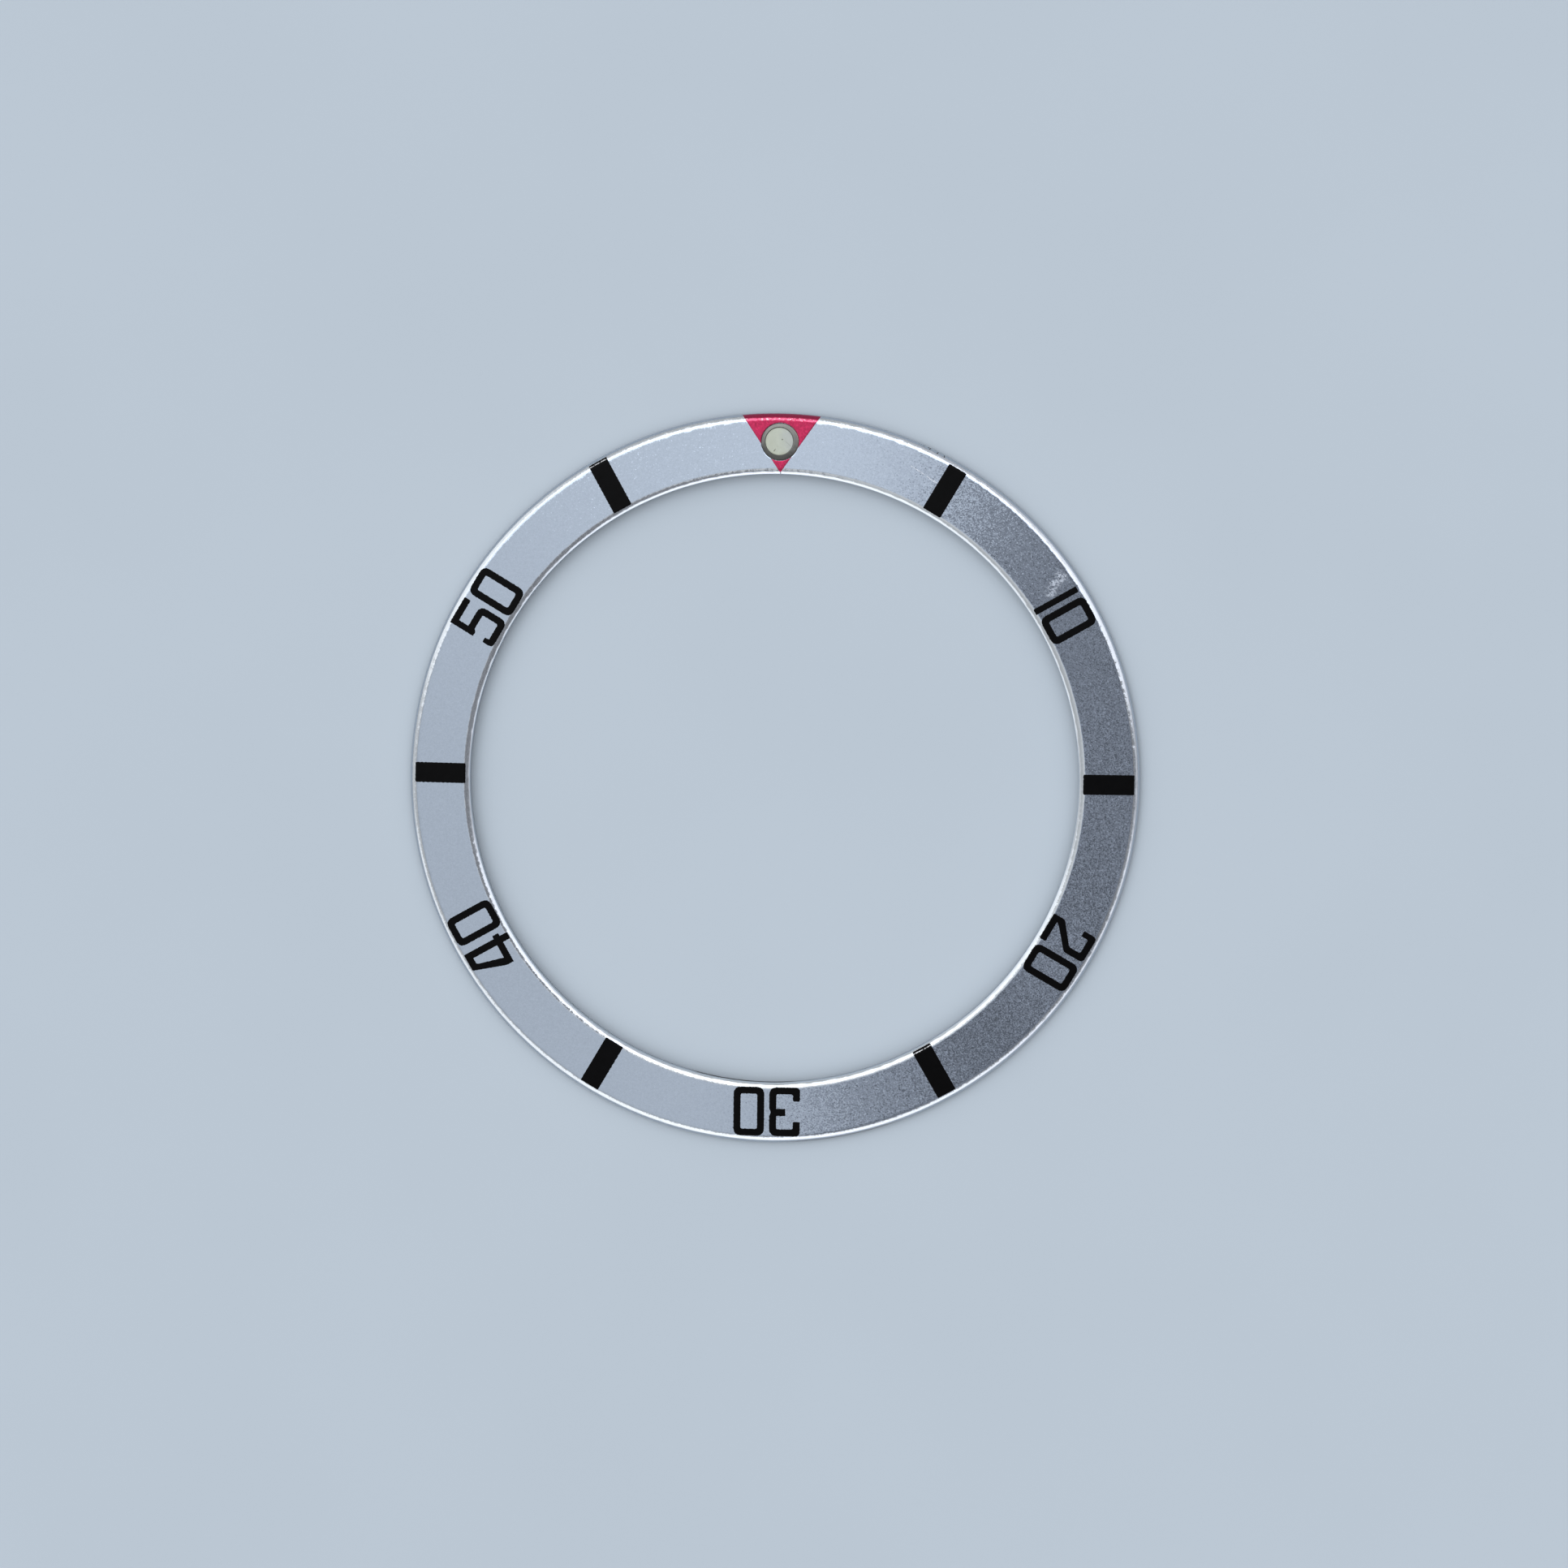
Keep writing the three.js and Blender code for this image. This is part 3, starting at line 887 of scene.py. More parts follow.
@dataclass
class MinuteBar:
    """A black bar that crosses the face at an odd five minutes."""

    film: InkFilm
    place: PrintPlace
    minute: int
    width: float = 1.015
    length: float = 2.63
    corner_round: float = 0.05
    spill_in: float = 0.0
    spill_out: float = 0.0

    def build(self, finish: Finish) -> bpy.types.Object:
        """Builds the bar: a box with small rounds, which may spill over a corner of the face.

        Args:
            finish: What the piece is dressed with.

        Returns:
            The bar.
        """
        box = box_corners(0, -self.spill_in, self.width, self.length + self.spill_out, self.corner_round)
        loop = self.place.lay(rounded_loop(box), self.minute, -self.width / 2)
        node = f"bar_{self.minute:02d}"
        piece = self.film.build(f"{node}_ink", [loop], seed=self.minute)
        return dress(piece, finish, node)


@dataclass
class Numeral:
    """A printed number of two digits, the second of which is 0."""

    film: InkFilm
    place: PrintPlace
    minute: int
    first: Digit
    sizes: DigitSizes = field(default_factory=DigitSizes)
    gap: float = 0.29

    def build(self, finish: Finish) -> list[bpy.types.Object]:
        """Builds both digits side by side about the minute's line.

        Args:
            finish: What the piece is dressed with.

        Returns:
            The two digits.
        """
        digits = (self.first, Digit.ZERO)
        widths = [digit.width(self.sizes) for digit in digits]
        total = sum(widths) + self.gap
        lefts = (-total / 2, total / 2 - widths[1])
        pieces = []
        for order, (digit, left) in enumerate(zip(digits, lefts)):
            loops = [
                self.place.lay(rounded_loop(corners), self.minute, left) for corners in digit.loops(self.sizes)
            ]
            node = f"numeral_{self.minute}_{digit.value}"
            piece = self.film.build(f"{node}_ink", loops, seed=self.minute * 10 + order * 3)
            pieces.append(dress(piece, finish, node))
        return pieces


@dataclass
class RedTriangle:
    """The red triangle, whose outer side runs down the bevel. The pip's hole parts it in two."""

    film: InkFilm
    pip: PipPlace
    outer_radius: float = 18.988
    half_angle: float = math.radians(34.6)
    tip_radius: float = 15.9195
    tip_round: float = 0.1
    shift: float = 0.05
    rim_points: int = 60
    arc_points: int = 90
    seed: int = 700

    def build(self, finish: Finish) -> list[bpy.types.Object]:
        """Builds the head and the tip.

        Either side is a straight line from the tip. It meets the hole's circle twice and the ring's outer
        circle once, and those crossings join the lines to arcs of the circles.

        Args:
            finish: What the piece is dressed with.

        Returns:
            The head and the tip.
        """
        (near, near_left), (far, far_left) = self.crossings(np.array(self.pip.centre[:2]), self.pip.hole_radius)
        _, ends = self.crossings(np.zeros(2), self.outer_radius)
        rim = polar(self.outer_radius, np.linspace(*(math.atan2(*end) for end in ends), self.rim_points))
        head = np.vstack([far, rim, far_left, self.hole_arc(far_left, far, shorter=False)])
        point = rounded_loop([tuple(near_left), (self.shift, self.tip_radius, self.tip_round), tuple(near)])[:-1]
        tip = np.vstack([point, self.hole_arc(near, near_left, shorter=True)])
        pieces = []
        for order, (node, loop) in enumerate((("red_triangle_head", head), ("red_triangle_tip", tip))):
            piece = self.film.build(f"{node}_lacquer", [self.without_doubles(loop)], seed=self.seed + order)
            pieces.append(dress(piece, finish, node))
        return pieces

    @staticmethod
    def without_doubles(loop: np.ndarray) -> np.ndarray:
        """The loop without points that repeat the one before."""
        return loop[np.linalg.norm(loop - np.roll(loop, 1, axis=0), axis=1) > 1e-6]

    def crossings(self, centre: np.ndarray, radius: float) -> tuple[list[np.ndarray], list[np.ndarray]]:
        """Points at which the two sides enter and leave a circle, on the side clockwise of the middle first.

        Their distances t from the tip are the roots of |o + t w|^2 = R^2, where o is the tip from the
        circle's centre and w the side's direction.

        Args:
            centre: The circle's centre.
            radius: Its radius.

        Returns:
            The points of entry and the points of exit, two each.
        """
        tip = np.array([self.shift, self.tip_radius])
        offset = tip - centre
        entries, exits = [], []
        for side in (1, -1):
            way = np.array([side * math.sin(self.half_angle), math.cos(self.half_angle)])
            half = float(offset @ way)
            deep = math.sqrt(half * half - float(offset @ offset) + radius * radius)
            entries.append(tip + way * (-half - deep))
            exits.append(tip + way * (-half + deep))
        return entries, exits

    def hole_arc(self, start: np.ndarray, end: np.ndarray, shorter: bool) -> np.ndarray:
        """Points on the hole's edge between two of its points, the shorter or the longer way round.

        Args:
            start: The first point.
            end: The last point.
            shorter: Whether the arc takes the shorter way.

        Returns:
            The points between the two.
        """
        centre = np.array(self.pip.centre[:2])
        first, last = (math.atan2(*(point - centre)) for point in (start, end))
        turn = (last - first + math.pi) % TURN - math.pi
        if not shorter:
            turn -= math.copysign(TURN, turn)
        shares = np.linspace(0, 1, self.arc_points)[1:-1]
        return centre + polar(self.pip.hole_radius, first + shares * turn)


# Lume pip


@dataclass
class LumePip:
    """The pip: a turned metal cup in the ring's hole, and the lume that fills its well."""

    pip: PipPlace
    steps: int = 192
    cup_radius: float = 0.978
    well_radius: float = 0.722
    well_offset: Pair = (-0.035, 0.02)
    foot: float = -0.5488
    floor: float = -0.3888
    lume_edge: float = 0.006
    lume_crown: float = 0.03
    lume_top: float = 0.82
    dome_row: int = 6
    swell: float = 0.0012
    pit: Four = (-0.262, -0.497, 0.05, 0.03)

    @property
    def lume_centre(self) -> Triple:
        """Middle of the lume's top in the part's frame."""
        return (self.well_offset[0], self.pip.radius + self.well_offset[1], self.lume_top)

    def cup_profile(self) -> np.ndarray:
        """The cup in section, from its foot's middle round the rim to the well's middle.

        Rows are (radius, height, share of the well's offset). The rim slopes outwards in a soft crown, as
        a turned cup's does.

        Returns:
            The rows, with both ends on the axis.
        """
        cup, well, foot, floor = self.cup_radius, self.well_radius, self.foot, self.floor
        outside = [
            (0.0, foot), (0.45, foot), (0.9, foot), (0.95, foot + 0.006), (0.97, foot + 0.024), (cup, foot + 0.06),
            (cup, foot + 0.1), (cup, -0.08), (cup, -0.05), (cup, -0.035), (0.976, -0.018), (0.9715, -0.003),
            (0.9645, 0.009),
        ]
        crown = [
            (0.955, 0.018, 0.02), (0.944, 0.0245, 0.05), (0.931, 0.028, 0.1), (0.915, 0.0302, 0.16),
            (0.89, 0.0334, 0.3), (0.855, 0.0372, 0.5), (0.82, 0.0408, 0.7), (0.785, 0.0444, 0.9), (0.76, 0.0466, 0.98),
        ]
        inner = [
            (0.748, 0.0462), (0.739, 0.041), (0.732, 0.031), (0.727, 0.016), (0.724, -0.004), (well, -0.03),
            (well, -0.06), (well, floor + 0.04), (well, floor), (0.7, floor), (0.35, floor), (0.0, floor),
        ]
        return np.array([*((*row, 0.0) for row in outside), *crown, *((*row, 1.0) for row in inner)])

    def turned(self, name: str, profile: np.ndarray, bumps: Callable | None = None) -> bpy.types.Object:
        """Turns a profile about the pip's axis, with both ends closed by a point on the axis.

        Args:
            name: Name of the piece.
            profile: Rows of (radius, height, share of the well's offset), the first and last on the axis.
            bumps: What to add to the height, from x and y in the pip's frame and the profile's row number.

        Returns:
            The turned piece.
        """
        body = profile[1:-1]
        angle = np.arange(self.steps) * TURN / self.steps
        x = body[:, :1] * np.sin(angle) + body[:, 2:] * self.well_offset[0]
        y = body[:, :1] * np.cos(angle) + body[:, 2:] * self.well_offset[1]
        z = np.repeat(body[:, 1:2], self.steps, axis=1)
        ends = profile[[0, -1]]
        end_x, end_y, end_z = ends[:, 2] * self.well_offset[0], ends[:, 2] * self.well_offset[1], ends[:, 1].copy()
        if bumps is not None:
            z = z + bumps(x, y, np.arange(1, len(profile) - 1)[:, None])
            end_z = end_z + bumps(end_x, end_y, np.array([0, len(profile) - 1]))
        points = np.vstack([self.pip.on_axis(x, y, z).reshape(-1, 3), self.pip.on_axis(end_x, end_y, end_z)])
        index = np.arange(x.size).reshape(x.shape)
        quads = strip_quads(index)
        fans = []
        for tip, ring, flip in ((x.size, index[0], False), (x.size + 1, index[-1], True)):
            fan = np.stack([np.full(self.steps, tip), np.roll(ring, -1), ring], axis=1)
            fans.append(fan[:, ::-1] if flip else fan)
        return write_mesh(name, points, quads, np.vstack(fans))

    def lume_bumps(self, x: np.ndarray, y: np.ndarray, row: np.ndarray) -> np.ndarray:
        """Unevenness of the lume's top: a few shallow swells and one pit, on the rows of the dome only.

        The swells are products of sines some 0.5 mm long, and the pit is a Gaussian, given by its middle,
        width and depth.

        Args:
            x: Places to the right of the pip's axis.
            y: Places outwards.
            row: Rows of the profile.

        Returns:
            What to add to each height.
        """
        swells = np.sin(11 * x + 1.0) * np.sin(9 * y + 0.4) + 0.6 * np.sin(17 * x - 13 * y)
        pit_x, pit_y, width, depth = self.pit
        pitted = np.exp(-((x - pit_x) ** 2 + (y - pit_y) ** 2) / (2 * (width / 2) ** 2))
        return np.where(row >= self.dome_row, self.swell * swells - depth * pitted, 0.0)

    def lume_profile(self) -> np.ndarray:
        """The lume in section, from its foot's middle up the well's wall and over the dome to the middle.

        The dome is edge + crown (1 - (r/R)^2).

        Returns:
            The rows, with both ends on the axis and the whole of the well's offset.
        """
        radius = self.well_radius - 0.001
        rounds = [(radius, self.floor + 0.002), (radius, self.lume_edge - 0.05), (radius, self.lume_edge - 0.02),
                  (radius - 0.004, self.lume_edge - 0.006)]
        inwards = np.linspace(1, 0, 32)[1:-1] ** 0.8 * (radius - 0.01)
        dome = [(r, self.lume_edge + self.lume_crown * (1 - (r / radius) ** 2)) for r in inwards]
        rows = [(0.0, self.floor + 0.002), (0.5, self.floor + 0.002), *rounds, *dome]
        rows.append((0.0, self.lume_edge + self.lume_crown))
        return np.column_stack([np.array(rows), np.ones(len(rows))])

    def build(self, cup_finish: Finish, lume_finish: Finish) -> list[bpy.types.Object]:
        """Builds the cup and the lume.

        Args:
            cup_finish: What the cup is dressed with.
            lume_finish: What the lume is dressed with.

        Returns:
            The cup and the lume.
        """
        cup = self.turned("pip_cup_steel", self.cup_profile())
        lume = self.turned("lume_fill_dome", self.lume_profile(), self.lume_bumps)
        return [dress(cup, cup_finish, "pip_cup"), dress(lume, lume_finish, "lume_fill")]


# Shader nodes


def arithmetic(operation: str, swapped: bool = False) -> Callable[[Value, object], Value]:
    """An arithmetic method of Value.

    Args:
        operation: Operation of the Math node that the method adds.
        swapped: Whether the value is the second of the two numbers.

    Returns:
        The method.
    """

    def method(value: Value, other: object) -> Value:
        """Adds the node for two numbers."""
        return value.net.math(operation, *((other, value) if swapped else (value, other)))

    return method


@dataclass(frozen=True)
class Value:
    """A number or vector on its way through a node tree. Plus, minus, times and over each add a Math node."""

    net: Net
    socket: bpy.types.NodeSocket

    __add__, __radd__ = arithmetic("ADD"), arithmetic("ADD", swapped=True)
    __sub__, __rsub__ = arithmetic("SUBTRACT"), arithmetic("SUBTRACT", swapped=True)
    __mul__, __rmul__ = arithmetic("MULTIPLY"), arithmetic("MULTIPLY", swapped=True)
    __truediv__ = arithmetic("DIVIDE")

    def __abs__(self) -> Value:
        """The number without its sign."""
        return self.net.math("ABSOLUTE", self)


class Net:
    """A node tree that is written by short calls. Inputs take a number, a colour, a vector or a Value."""

    def __init__(self, tree: bpy.types.NodeTree) -> None:
        """Starts from a tree, which is emptied."""
        self.tree = tree
        tree.nodes.clear()

    def add(self, kind: str, **settings: object) -> bpy.types.Node:
        """A new node with some of its properties set.

        Args:
            kind: Kind of node.
            **settings: The properties by name.

        Returns:
            The node.
        """
        node = self.tree.nodes.new(kind)
        for name, value in settings.items():
            setattr(node, name, value)
        return node

    def feed(self, node: bpy.types.Node, given: dict[str | int, object]) -> None:
        """Links values to a node's inputs, by name or number, or writes plain ones there.

        Args:
            node: The node.
            given: What goes to each input.
        """
        for name, value in given.items():
            entry = node.inputs[name]
            if isinstance(value, Value):
                value = value.socket
            if isinstance(value, bpy.types.NodeSocket):
                self.tree.links.new(value, entry)
            elif isinstance(value, tuple) and len(value) == 3 and entry.type == "RGBA":
                entry.default_value = (*value, 1.0)
            else:
                entry.default_value = value

    def put(self, kind: str, given: dict[str | int, object], output: str | int = 0, **settings: object) -> Value:
        """One of the outputs of a new node whose inputs are fed.

        Args:
            kind: Kind of node.
            given: What goes to each input.
            output: Name or number of the output.
            **settings: Properties of the node.

        Returns:
            The output.
        """
        node = self.add(kind, **settings)
        self.feed(node, given)
        return Value(self, node.outputs[output])

    def math(self, operation: str, a: object, b: object = 0.0, clamp: bool = False) -> Value:
        """One Math node."""
        return self.put("ShaderNodeMath", {0: a, 1: b}, operation=operation, use_clamp=clamp)

    def most(self, first: object, *others: object) -> Value:
        """The largest of some numbers.

        Args:
            first: A number.
            *others: The rest of them.

        Returns:
            The largest.
        """
        for other in others:
            first = self.math("MAXIMUM", first, other)
        return first

    def vector(self, operation: str, a: object, b: object = (0.0, 0.0, 0.0), output: str = "Vector") -> Value:
        """One Vector Math node."""
        second = "Scale" if operation == "SCALE" else 1
        return self.put("ShaderNodeVectorMath", {0: a, second: b}, output, operation=operation)

    def dot(self, a: object, b: object) -> Value:
        """The dot product of two vectors."""
        return self.vector("DOT_PRODUCT", a, b, "Value")

    def ramp(self, value: object, start: object, end: object, low: float = 0.0, high: float = 1.0) -> Value:
        """A smooth step of a number, from low at start to high at end."""
        given = {"Value": value, "From Min": start, "From Max": end, "To Min": low, "To Max": high}
        return self.put("ShaderNodeMapRange", given, "Result", interpolation_type="SMOOTHSTEP")

    def mix(self, share: object, a: object, b: object) -> Value:
        """A mix of two colours."""
        return self.put("ShaderNodeMix", {0: share, 6: a, 7: b}, 2, data_type="RGBA")

    def blend(self, share: object, a: object, b: object) -> Value:
        """A mix of two numbers."""
        return self.put("ShaderNodeMix", {0: share, 2: a, 3: b}, data_type="FLOAT")

    def noise(self, place: object, scale: object, detail: float = 2.0, roughness: float = 0.5) -> Value:
        """Noise from 0 to 1 about 0.5, with its scale in turns for each unit of the place."""
        given = {"Vector": place, "Scale": scale, "Detail": detail, "Roughness": roughness}
        return self.put("ShaderNodeTexNoise", given, "Fac", noise_dimensions="3D")

    def shake(self, place: object, scale: object, detail: float, roughness: float, reach: object) -> Value:
        """Noise about 0, of which the reach is the whole height."""
        return (self.noise(place, scale, detail, roughness) - 0.5) * reach

    def join(self, x: object, y: object, z: object = 0.0) -> Value:
        """A vector of three numbers."""
        return self.put("ShaderNodeCombineXYZ", {0: x, 1: y, 2: z})

    def split(self, place: object) -> tuple[Value, ...]:
        """The three numbers of a vector.

        Args:
            place: The vector.

        Returns:
            Its x, y and z.
        """
        node = self.add("ShaderNodeSeparateXYZ")
        self.feed(node, {0: place})
        return tuple(Value(self, socket) for socket in node.outputs)

    def length(self, x: object, y: object) -> Value:
        """Length of a vector in plan."""
        return self.vector("LENGTH", self.join(x, y), output="Value")

    def effect(self, group: bpy.types.NodeTree, **given: object) -> dict[str, Value]:
        """One use of a node group, with its inputs by name, blanks written as underscores.

        Args:
            group: The group.
            **given: What goes to each input.

        Returns:
            The outputs by name.
        """
        node = self.add("ShaderNodeGroup", node_tree=group)
        self.feed(node, {name.replace("_", " "): value for name, value in given.items()})
        return {socket.name: Value(self, socket) for socket in node.outputs}

    def place_in_mm(self) -> Value:
        """The shaded point in the part's frame, in millimetres."""
        return self.vector("SCALE", self.add("ShaderNodeTexCoord").outputs["Object"], 1.0 / MM)


Given = dict[str, Value]


class Effects:
    """Node groups that several finishes share. Each is made once and kept."""

    def __init__(self) -> None:
        """Starts with no group made."""
        self.made: dict[str, bpy.types.NodeTree] = {}

    def group(
        self, name: str, inputs: dict[str, str], outputs: dict[str, str], draw: Callable[[Net, Given], Given]
    ) -> bpy.types.NodeTree:
        """A node group with named sockets.

        Args:
            name: Name of the group.
            inputs: Kind of socket for each input's name: "Float" or "Vector".
            outputs: The same for the outputs.
            draw: Draws the nodes, from the net and the inputs, and returns the outputs by name.

        Returns:
            The group, the same one each time it is asked for.
        """
        if name in self.made:
            return self.made[name]
        tree = bpy.data.node_groups.new(name, "ShaderNodeTree")
        for way, sockets in (("INPUT", inputs), ("OUTPUT", outputs)):
            for label, kind in sockets.items():
                tree.interface.new_socket(name=label, in_out=way, socket_type=f"NodeSocket{kind}")
        net = Net(tree)
        entry, leave = net.add("NodeGroupInput"), net.add("NodeGroupOutput")
        net.feed(leave, draw(net, {label: Value(net, entry.outputs[label]) for label in inputs}))
        self.made[name] = tree
        return tree

    def ring_place(self) -> bpy.types.NodeTree:
        """Where a point is on the ring: radius, length along the ring clockwise from 12, and height.

        Returns:
            The group.
        """

        def draw(net: Net, given: Given) -> Given:
            """Draws the way from a place to the ring's own measures."""
            x, y, z = net.split(given["Place"])
            return {"Radius": net.length(x, y), "Along": net.math("ARCTAN2", x, y) * MIDDLE_RADIUS, "Height": z}

        outputs = dict.fromkeys(("Radius", "Along", "Height"), "Float")
        return self.group("place on the ring", {"Place": "Vector"}, outputs, draw)

    def fine_grain(self) -> bpy.types.NodeTree:
        """Fine irregular grain: two sizes of noise for height and shade, and cells that lean each their own way.

        Returns:
            The group.
        """

        def draw(net: Net, given: Given) -> Given:
            """Draws the noises and the cells.

            Args:
                net: The group's nodes.
                given: Its inputs by name.

            Returns:
                Its outputs.
            """
            place, grains = given["Place"], given["Grains for each mm"]
            fine, broad = net.noise(place, grains, 1.0), net.noise(place, grains * 0.37, 2.0, 0.6)
            cell = {"Vector": place, "Scale": grains}
            drawn = net.put("ShaderNodeTexVoronoi", cell, "Color", voronoi_dimensions="3D", feature="F1")
            tilt = net.vector("MULTIPLY", net.vector("SUBTRACT", drawn, (0.5, 0.5, 0.5)), (1.0, 1.0, 0.0))
            steeper = net.ramp(net.split(drawn)[2], 0.3, 1.0, 0.75, 1.7)
            return {
                "Height": fine * 0.6 + broad * 0.7,
                "Shade": fine * 0.5 + broad * 0.5,
                "Tilt": net.vector("SCALE", tilt, steeper),
            }

        inputs = {"Place": "Vector", "Grains for each mm": "Float"}
        return self.group("fine grain", inputs, {"Height": "Float", "Shade": "Float", "Tilt": "Vector"}, draw)

    def turning_marks(self) -> bpy.types.NodeTree:
        """Fine lines left by turning: noise that is drawn out along the turn.

        Returns:
            The group.
        """

        def draw(net: Net, given: Given) -> Given:
            """Draws the noise."""
            place = net.join(given["Across"] * given["Lines for each mm"], given["Along"] * 0.35, given["Height"])
            return {"Height": net.noise(place, 1.0, 3.0, 0.65)}

        inputs = dict.fromkeys(("Across", "Along", "Height", "Lines for each mm"), "Float")
        return self.group("turning marks", inputs, {"Height": "Float"}, draw)

    def blot(self) -> bpy.types.NodeTree:
        """A round spot with a ragged edge: 1 inside, 0 outside.

        Returns:
            The group.
        """

        def draw(net: Net, given: Given) -> Given:
            """Draws the spot: the distance from its centre, shaken, against its reach.

            Args:
                net: The group's nodes.
                given: Its inputs by name.

            Returns:
                Its output.
            """
            away = net.vector("DISTANCE", given["Place"], given["Centre"], "Value")
            away = away + net.shake(given["Place"], given["Shake scale"], 2.0, 0.6, given["Shake"])
            start = given["Reach"] * (1.0 - given["Softness"])
            return {"Mask": 1.0 - net.ramp(away, start, given["Reach"])}

        inputs = {"Place": "Vector", "Centre": "Vector"}
        inputs |= dict.fromkeys(("Reach", "Softness", "Shake", "Shake scale"), "Float")
        return self.group("ragged blot", inputs, {"Mask": "Float"}, draw)

    def stroke(self) -> bpy.types.NodeTree:
        """A thin straight mark between two points, broken along its length.

        The distance is |p - a - t (b - a)| with t = (p - a).(b - a) / |b - a|^2 held between 0 and 1.

        Returns:
            The group.
        """

        def draw(net: Net, given: Given) -> Given:
            """Draws the mark: the distance from its line against its width, with gaps.

            Args:
                net: The group's nodes.
                given: Its inputs by name.

            Returns:
                Its output.
            """
            way = net.vector("SUBTRACT", given["End"], given["Start"])
            offset = net.vector("SUBTRACT", given["Place"], given["Start"])
            share = net.math("DIVIDE", net.dot(offset, way), net.dot(way, way), clamp=True)
            away = net.vector("LENGTH", net.vector("SUBTRACT", offset, net.vector("SCALE", way, share)), output="Value")
            line = 1.0 - net.ramp(away, given["Width"] * 0.3, given["Width"])
            gaps = net.ramp(net.noise(given["Place"], 9.0, 1.0), 0.36, 0.5)
            return {"Mask": line * net.most(gaps, 1.0 - given["Brokenness"])}

        inputs = dict.fromkeys(("Place", "Start", "End"), "Vector") | {"Width": "Float", "Brokenness": "Float"}
        return self.group("straight mark", inputs, {"Mask": "Float"}, draw)


EFFECTS = Effects()


def flat_place(net: Net, place: Value) -> Value:
    """A place without its height."""
    x, y, _ = net.split(place)
    return net.join(x, y)


def line_mask(net: Net, flat: Value, ends: tuple[float, ...], width: float, brokenness: float = 0.0) -> Value:
    """The mask of a thin mark in plan, whose ends are (x0, y0, x1, y1)."""
    start, end = (*ends[:2], 0.0), (*ends[2:], 0.0)
    return net.effect(EFFECTS.stroke(), Place=flat, Start=start, End=end, Width=width, Brokenness=brokenness)["Mask"]


def grain_at(net: Net, place: Value, grains: float) -> Given:
    """The fine grain at a place, with so many grains for each mm."""
    return net.effect(EFFECTS.fine_grain(), Place=place, Grains_for_each_mm=grains)


def new_material(name: str) -> tuple[bpy.types.Material, Net, bpy.types.Node]:
    """A new material of one principled shader, with its net and the shader.

    Args:
        name: Name of the material.

    Returns:
        The material, its nodes and the shader.
    """
    material = bpy.data.materials.new(name)
    material.use_nodes = True
    net = Net(material.node_tree)
    shader, output = net.add("ShaderNodeBsdfPrincipled"), net.add("ShaderNodeOutputMaterial")
    net.feed(output, {"Surface": shader.outputs[0]})
    return material, net, shader


# Finishes


@dataclass(frozen=True)
class Finish(ABC):
    """A finish that dresses a piece: draws its own material."""

    name: str

    @abstractmethod
    def draw(self, net: Net, shader: bpy.types.Node, place: Value) -> None:
        """Draws the nodes that feed the shader, from the place in millimetres.

        Args:
            net: The material's nodes.
            shader: Its principled shader.
            place: The shaded point in millimetres.
        """

    def material(self) -> bpy.types.Material:
        """The finish as a material, made once for each name.

        Returns:
            The material.
        """
        found = bpy.data.materials.get(self.name)
        if found is not None:
            return found
        material, net, shader = new_material(self.name)
        self.draw(net, shader, net.place_in_mm())
        return material

    @staticmethod
    def bump(net: Net, height: Value, depth: float, **given: object) -> Value:
        """A bumped normal, for a height from 0 to 1 that stands for a depth in millimetres."""
        return net.put("ShaderNodeBump", {"Distance": depth * MM, "Strength": 1.0, "Height": height, **given})

    @staticmethod
    def tilted(net: Net, tilt: Value, amount: object) -> Value:
        """The surface's normal plus a small vector times an amount, made unit long."""
        normal = net.add("ShaderNodeNewGeometry").outputs["Normal"]
        return net.vector("NORMALIZE", net.vector("ADD", normal, net.vector("SCALE", tilt, amount)))


@dataclass(frozen=True)
class Overlay:
    """A mark laid over the metal: its colour, how much of that colour covers, and its roughness."""

    colour: Colour
    weight: float
    roughness: float


